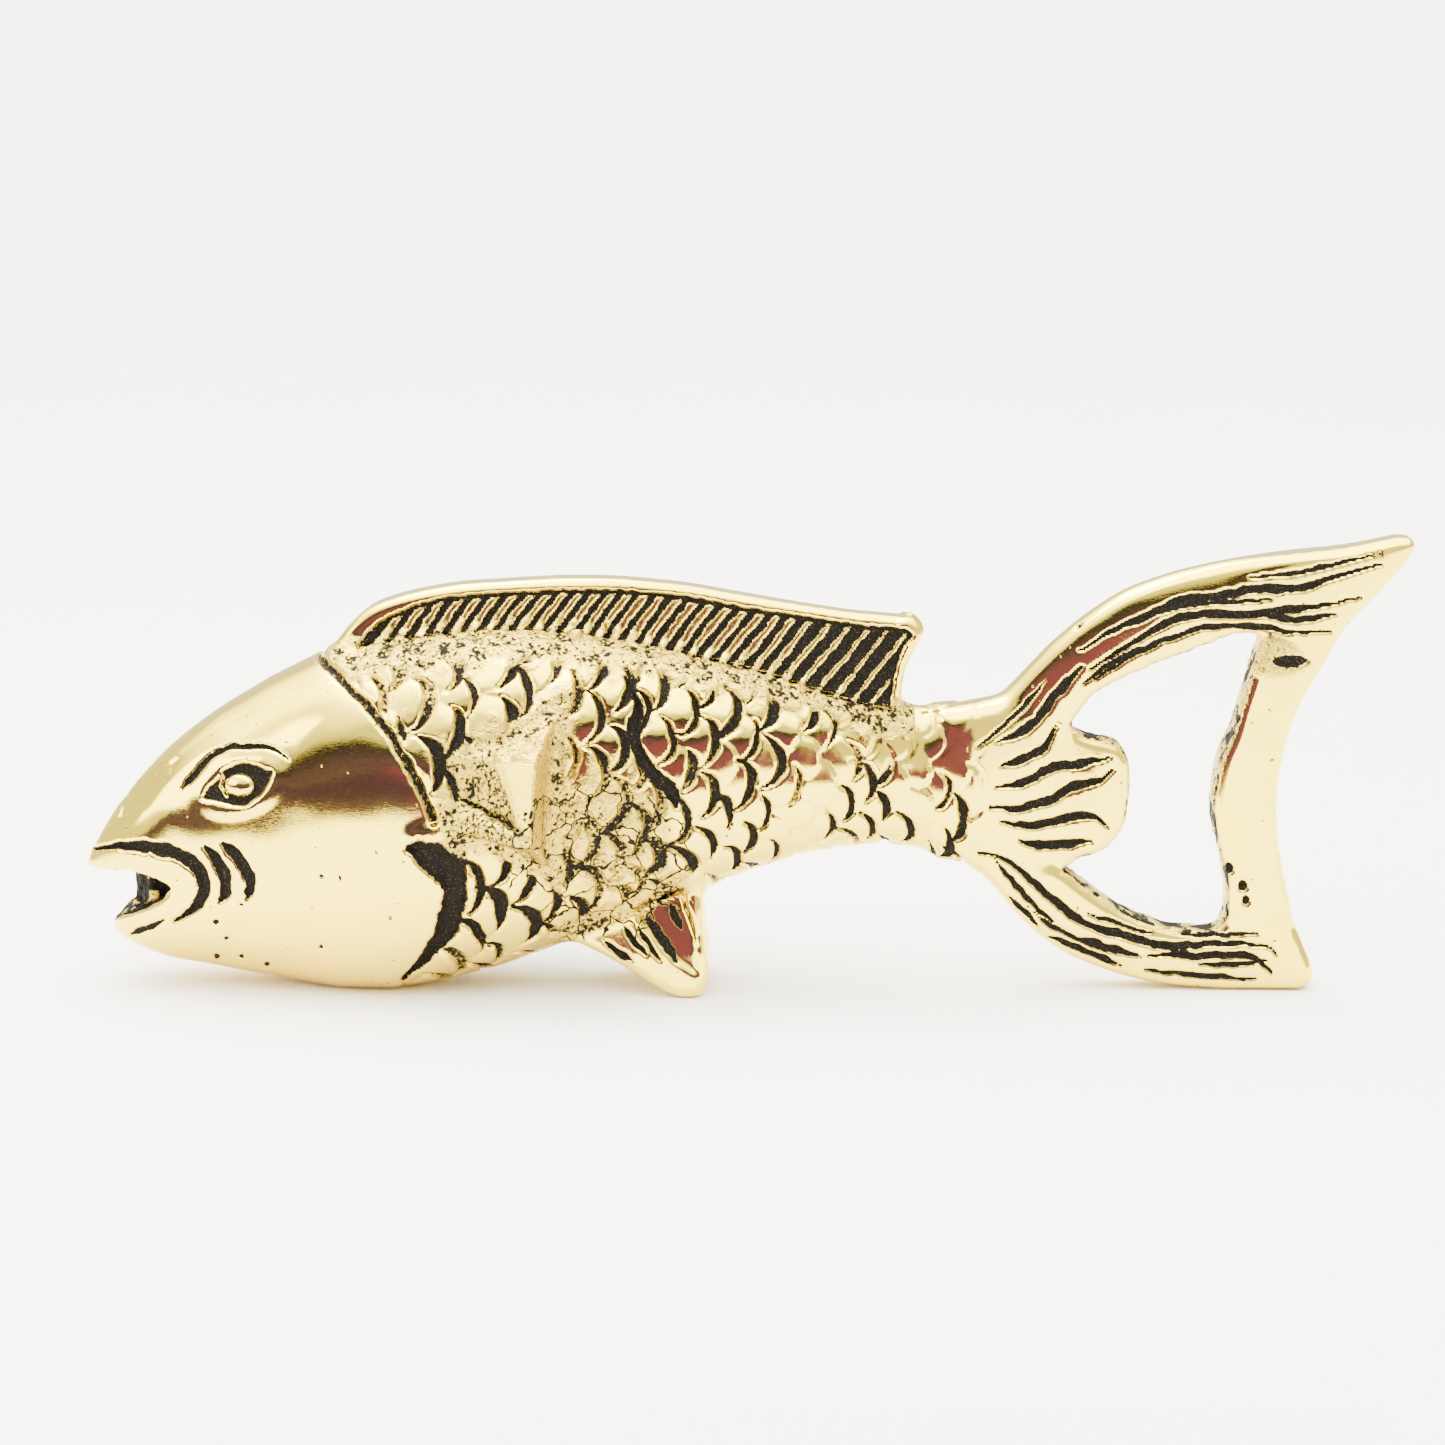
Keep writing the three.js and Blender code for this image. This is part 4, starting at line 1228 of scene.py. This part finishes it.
def make_stage():
    """A wide cloth floor, and a dim card in front that shows only in reflections."""
    reach = 40 * LENGTH * UNIT
    floor = [(-reach, -reach, 0), (reach, -reach, 0), (reach, reach, 0), (-reach, reach, 0)]
    flat_mesh("cloth_floor", floor, cloth_material())
    near, far, low, high = -125 * UNIT, -520 * UNIT, UNIT, 235 * UNIT
    left, right = -420 * UNIT, 52 * UNIT
    corners = [(left, near, low), (right, near, low), (2 * right, far, high), (1.5 * left, far, high)]
    card = flat_mesh("dim_card", corners, card_material())
    for ray in ("camera", "diffuse", "transmission", "volume_scatter", "shadow"):
        setattr(card, f"visible_{ray}", False)


def area_light(name, place, target, size, power, colour):
    light = bpy.data.lights.new(name, "AREA")
    light.shape = "RECTANGLE"
    light.size, light.size_y = size[0] * UNIT, size[1] * UNIT
    light.energy = power
    light.color = colour
    made = new_object(name, light)
    made.location = in_frame(place)
    aim = in_frame(target) - in_frame(place)
    made.rotation_mode = "QUATERNION"
    made.rotation_quaternion = Vector(aim).to_track_quat("-Z", "Y")


def make_light():
    """A pale room, brightest overhead, with one large soft light above and one to the left."""
    world = bpy.data.worlds.new("pale_room")
    world.use_nodes = True
    n = Nodes(world.node_tree)
    aim = n.place("Generated")
    uneven = n.times(n.minus(n.noise(aim, 2.2, 1.0), 0.5), 0.4)
    overhead = n.ramp(n.plus(n.along("Z", aim), uneven), 0.45, 0.92)
    strength = n.mix(overhead, 1.8, 12.0)
    shade = n.add("ShaderNodeBackground", {"Color": (1.0, 0.985, 0.955, 1), "Strength": strength})
    n.add("ShaderNodeOutputWorld", {"Surface": shade.outputs["Background"]})
    bpy.context.scene.world = world
    middle = [LENGTH / 2, 0, 20]
    area_light("window", [-40, 60, 420], middle, (300, 200), 3.6, (1, 0.99, 0.96))
    area_light("left_fill", [-260, -160, 160], middle, (200, 160), 0.8, (1, 0.98, 0.94))


def make_camera():
    """The photograph's view: a little above, square to the side."""
    data = bpy.data.cameras.new("camera")
    data.sensor_width = 36
    tilt, roll = math.radians(12), math.radians(-0.35)
    field_width = 160.6  # how much of the fish's plane the frame takes in
    data.lens = data.sensor_width * EYE_DISTANCE / field_width
    data.clip_start, data.clip_end = 0.01, 50
    camera = new_object("camera", data)
    target = np.array([70.4, 0, 29.95])
    camera.location = in_frame(target + EYE_DISTANCE * np.array([0, -math.cos(tilt), math.sin(tilt)]))
    camera.rotation_euler = (math.pi / 2 - tilt, roll, 0)
    bpy.context.scene.camera = camera


make_casting(brass_material())
make_stage()
make_light()
make_camera()
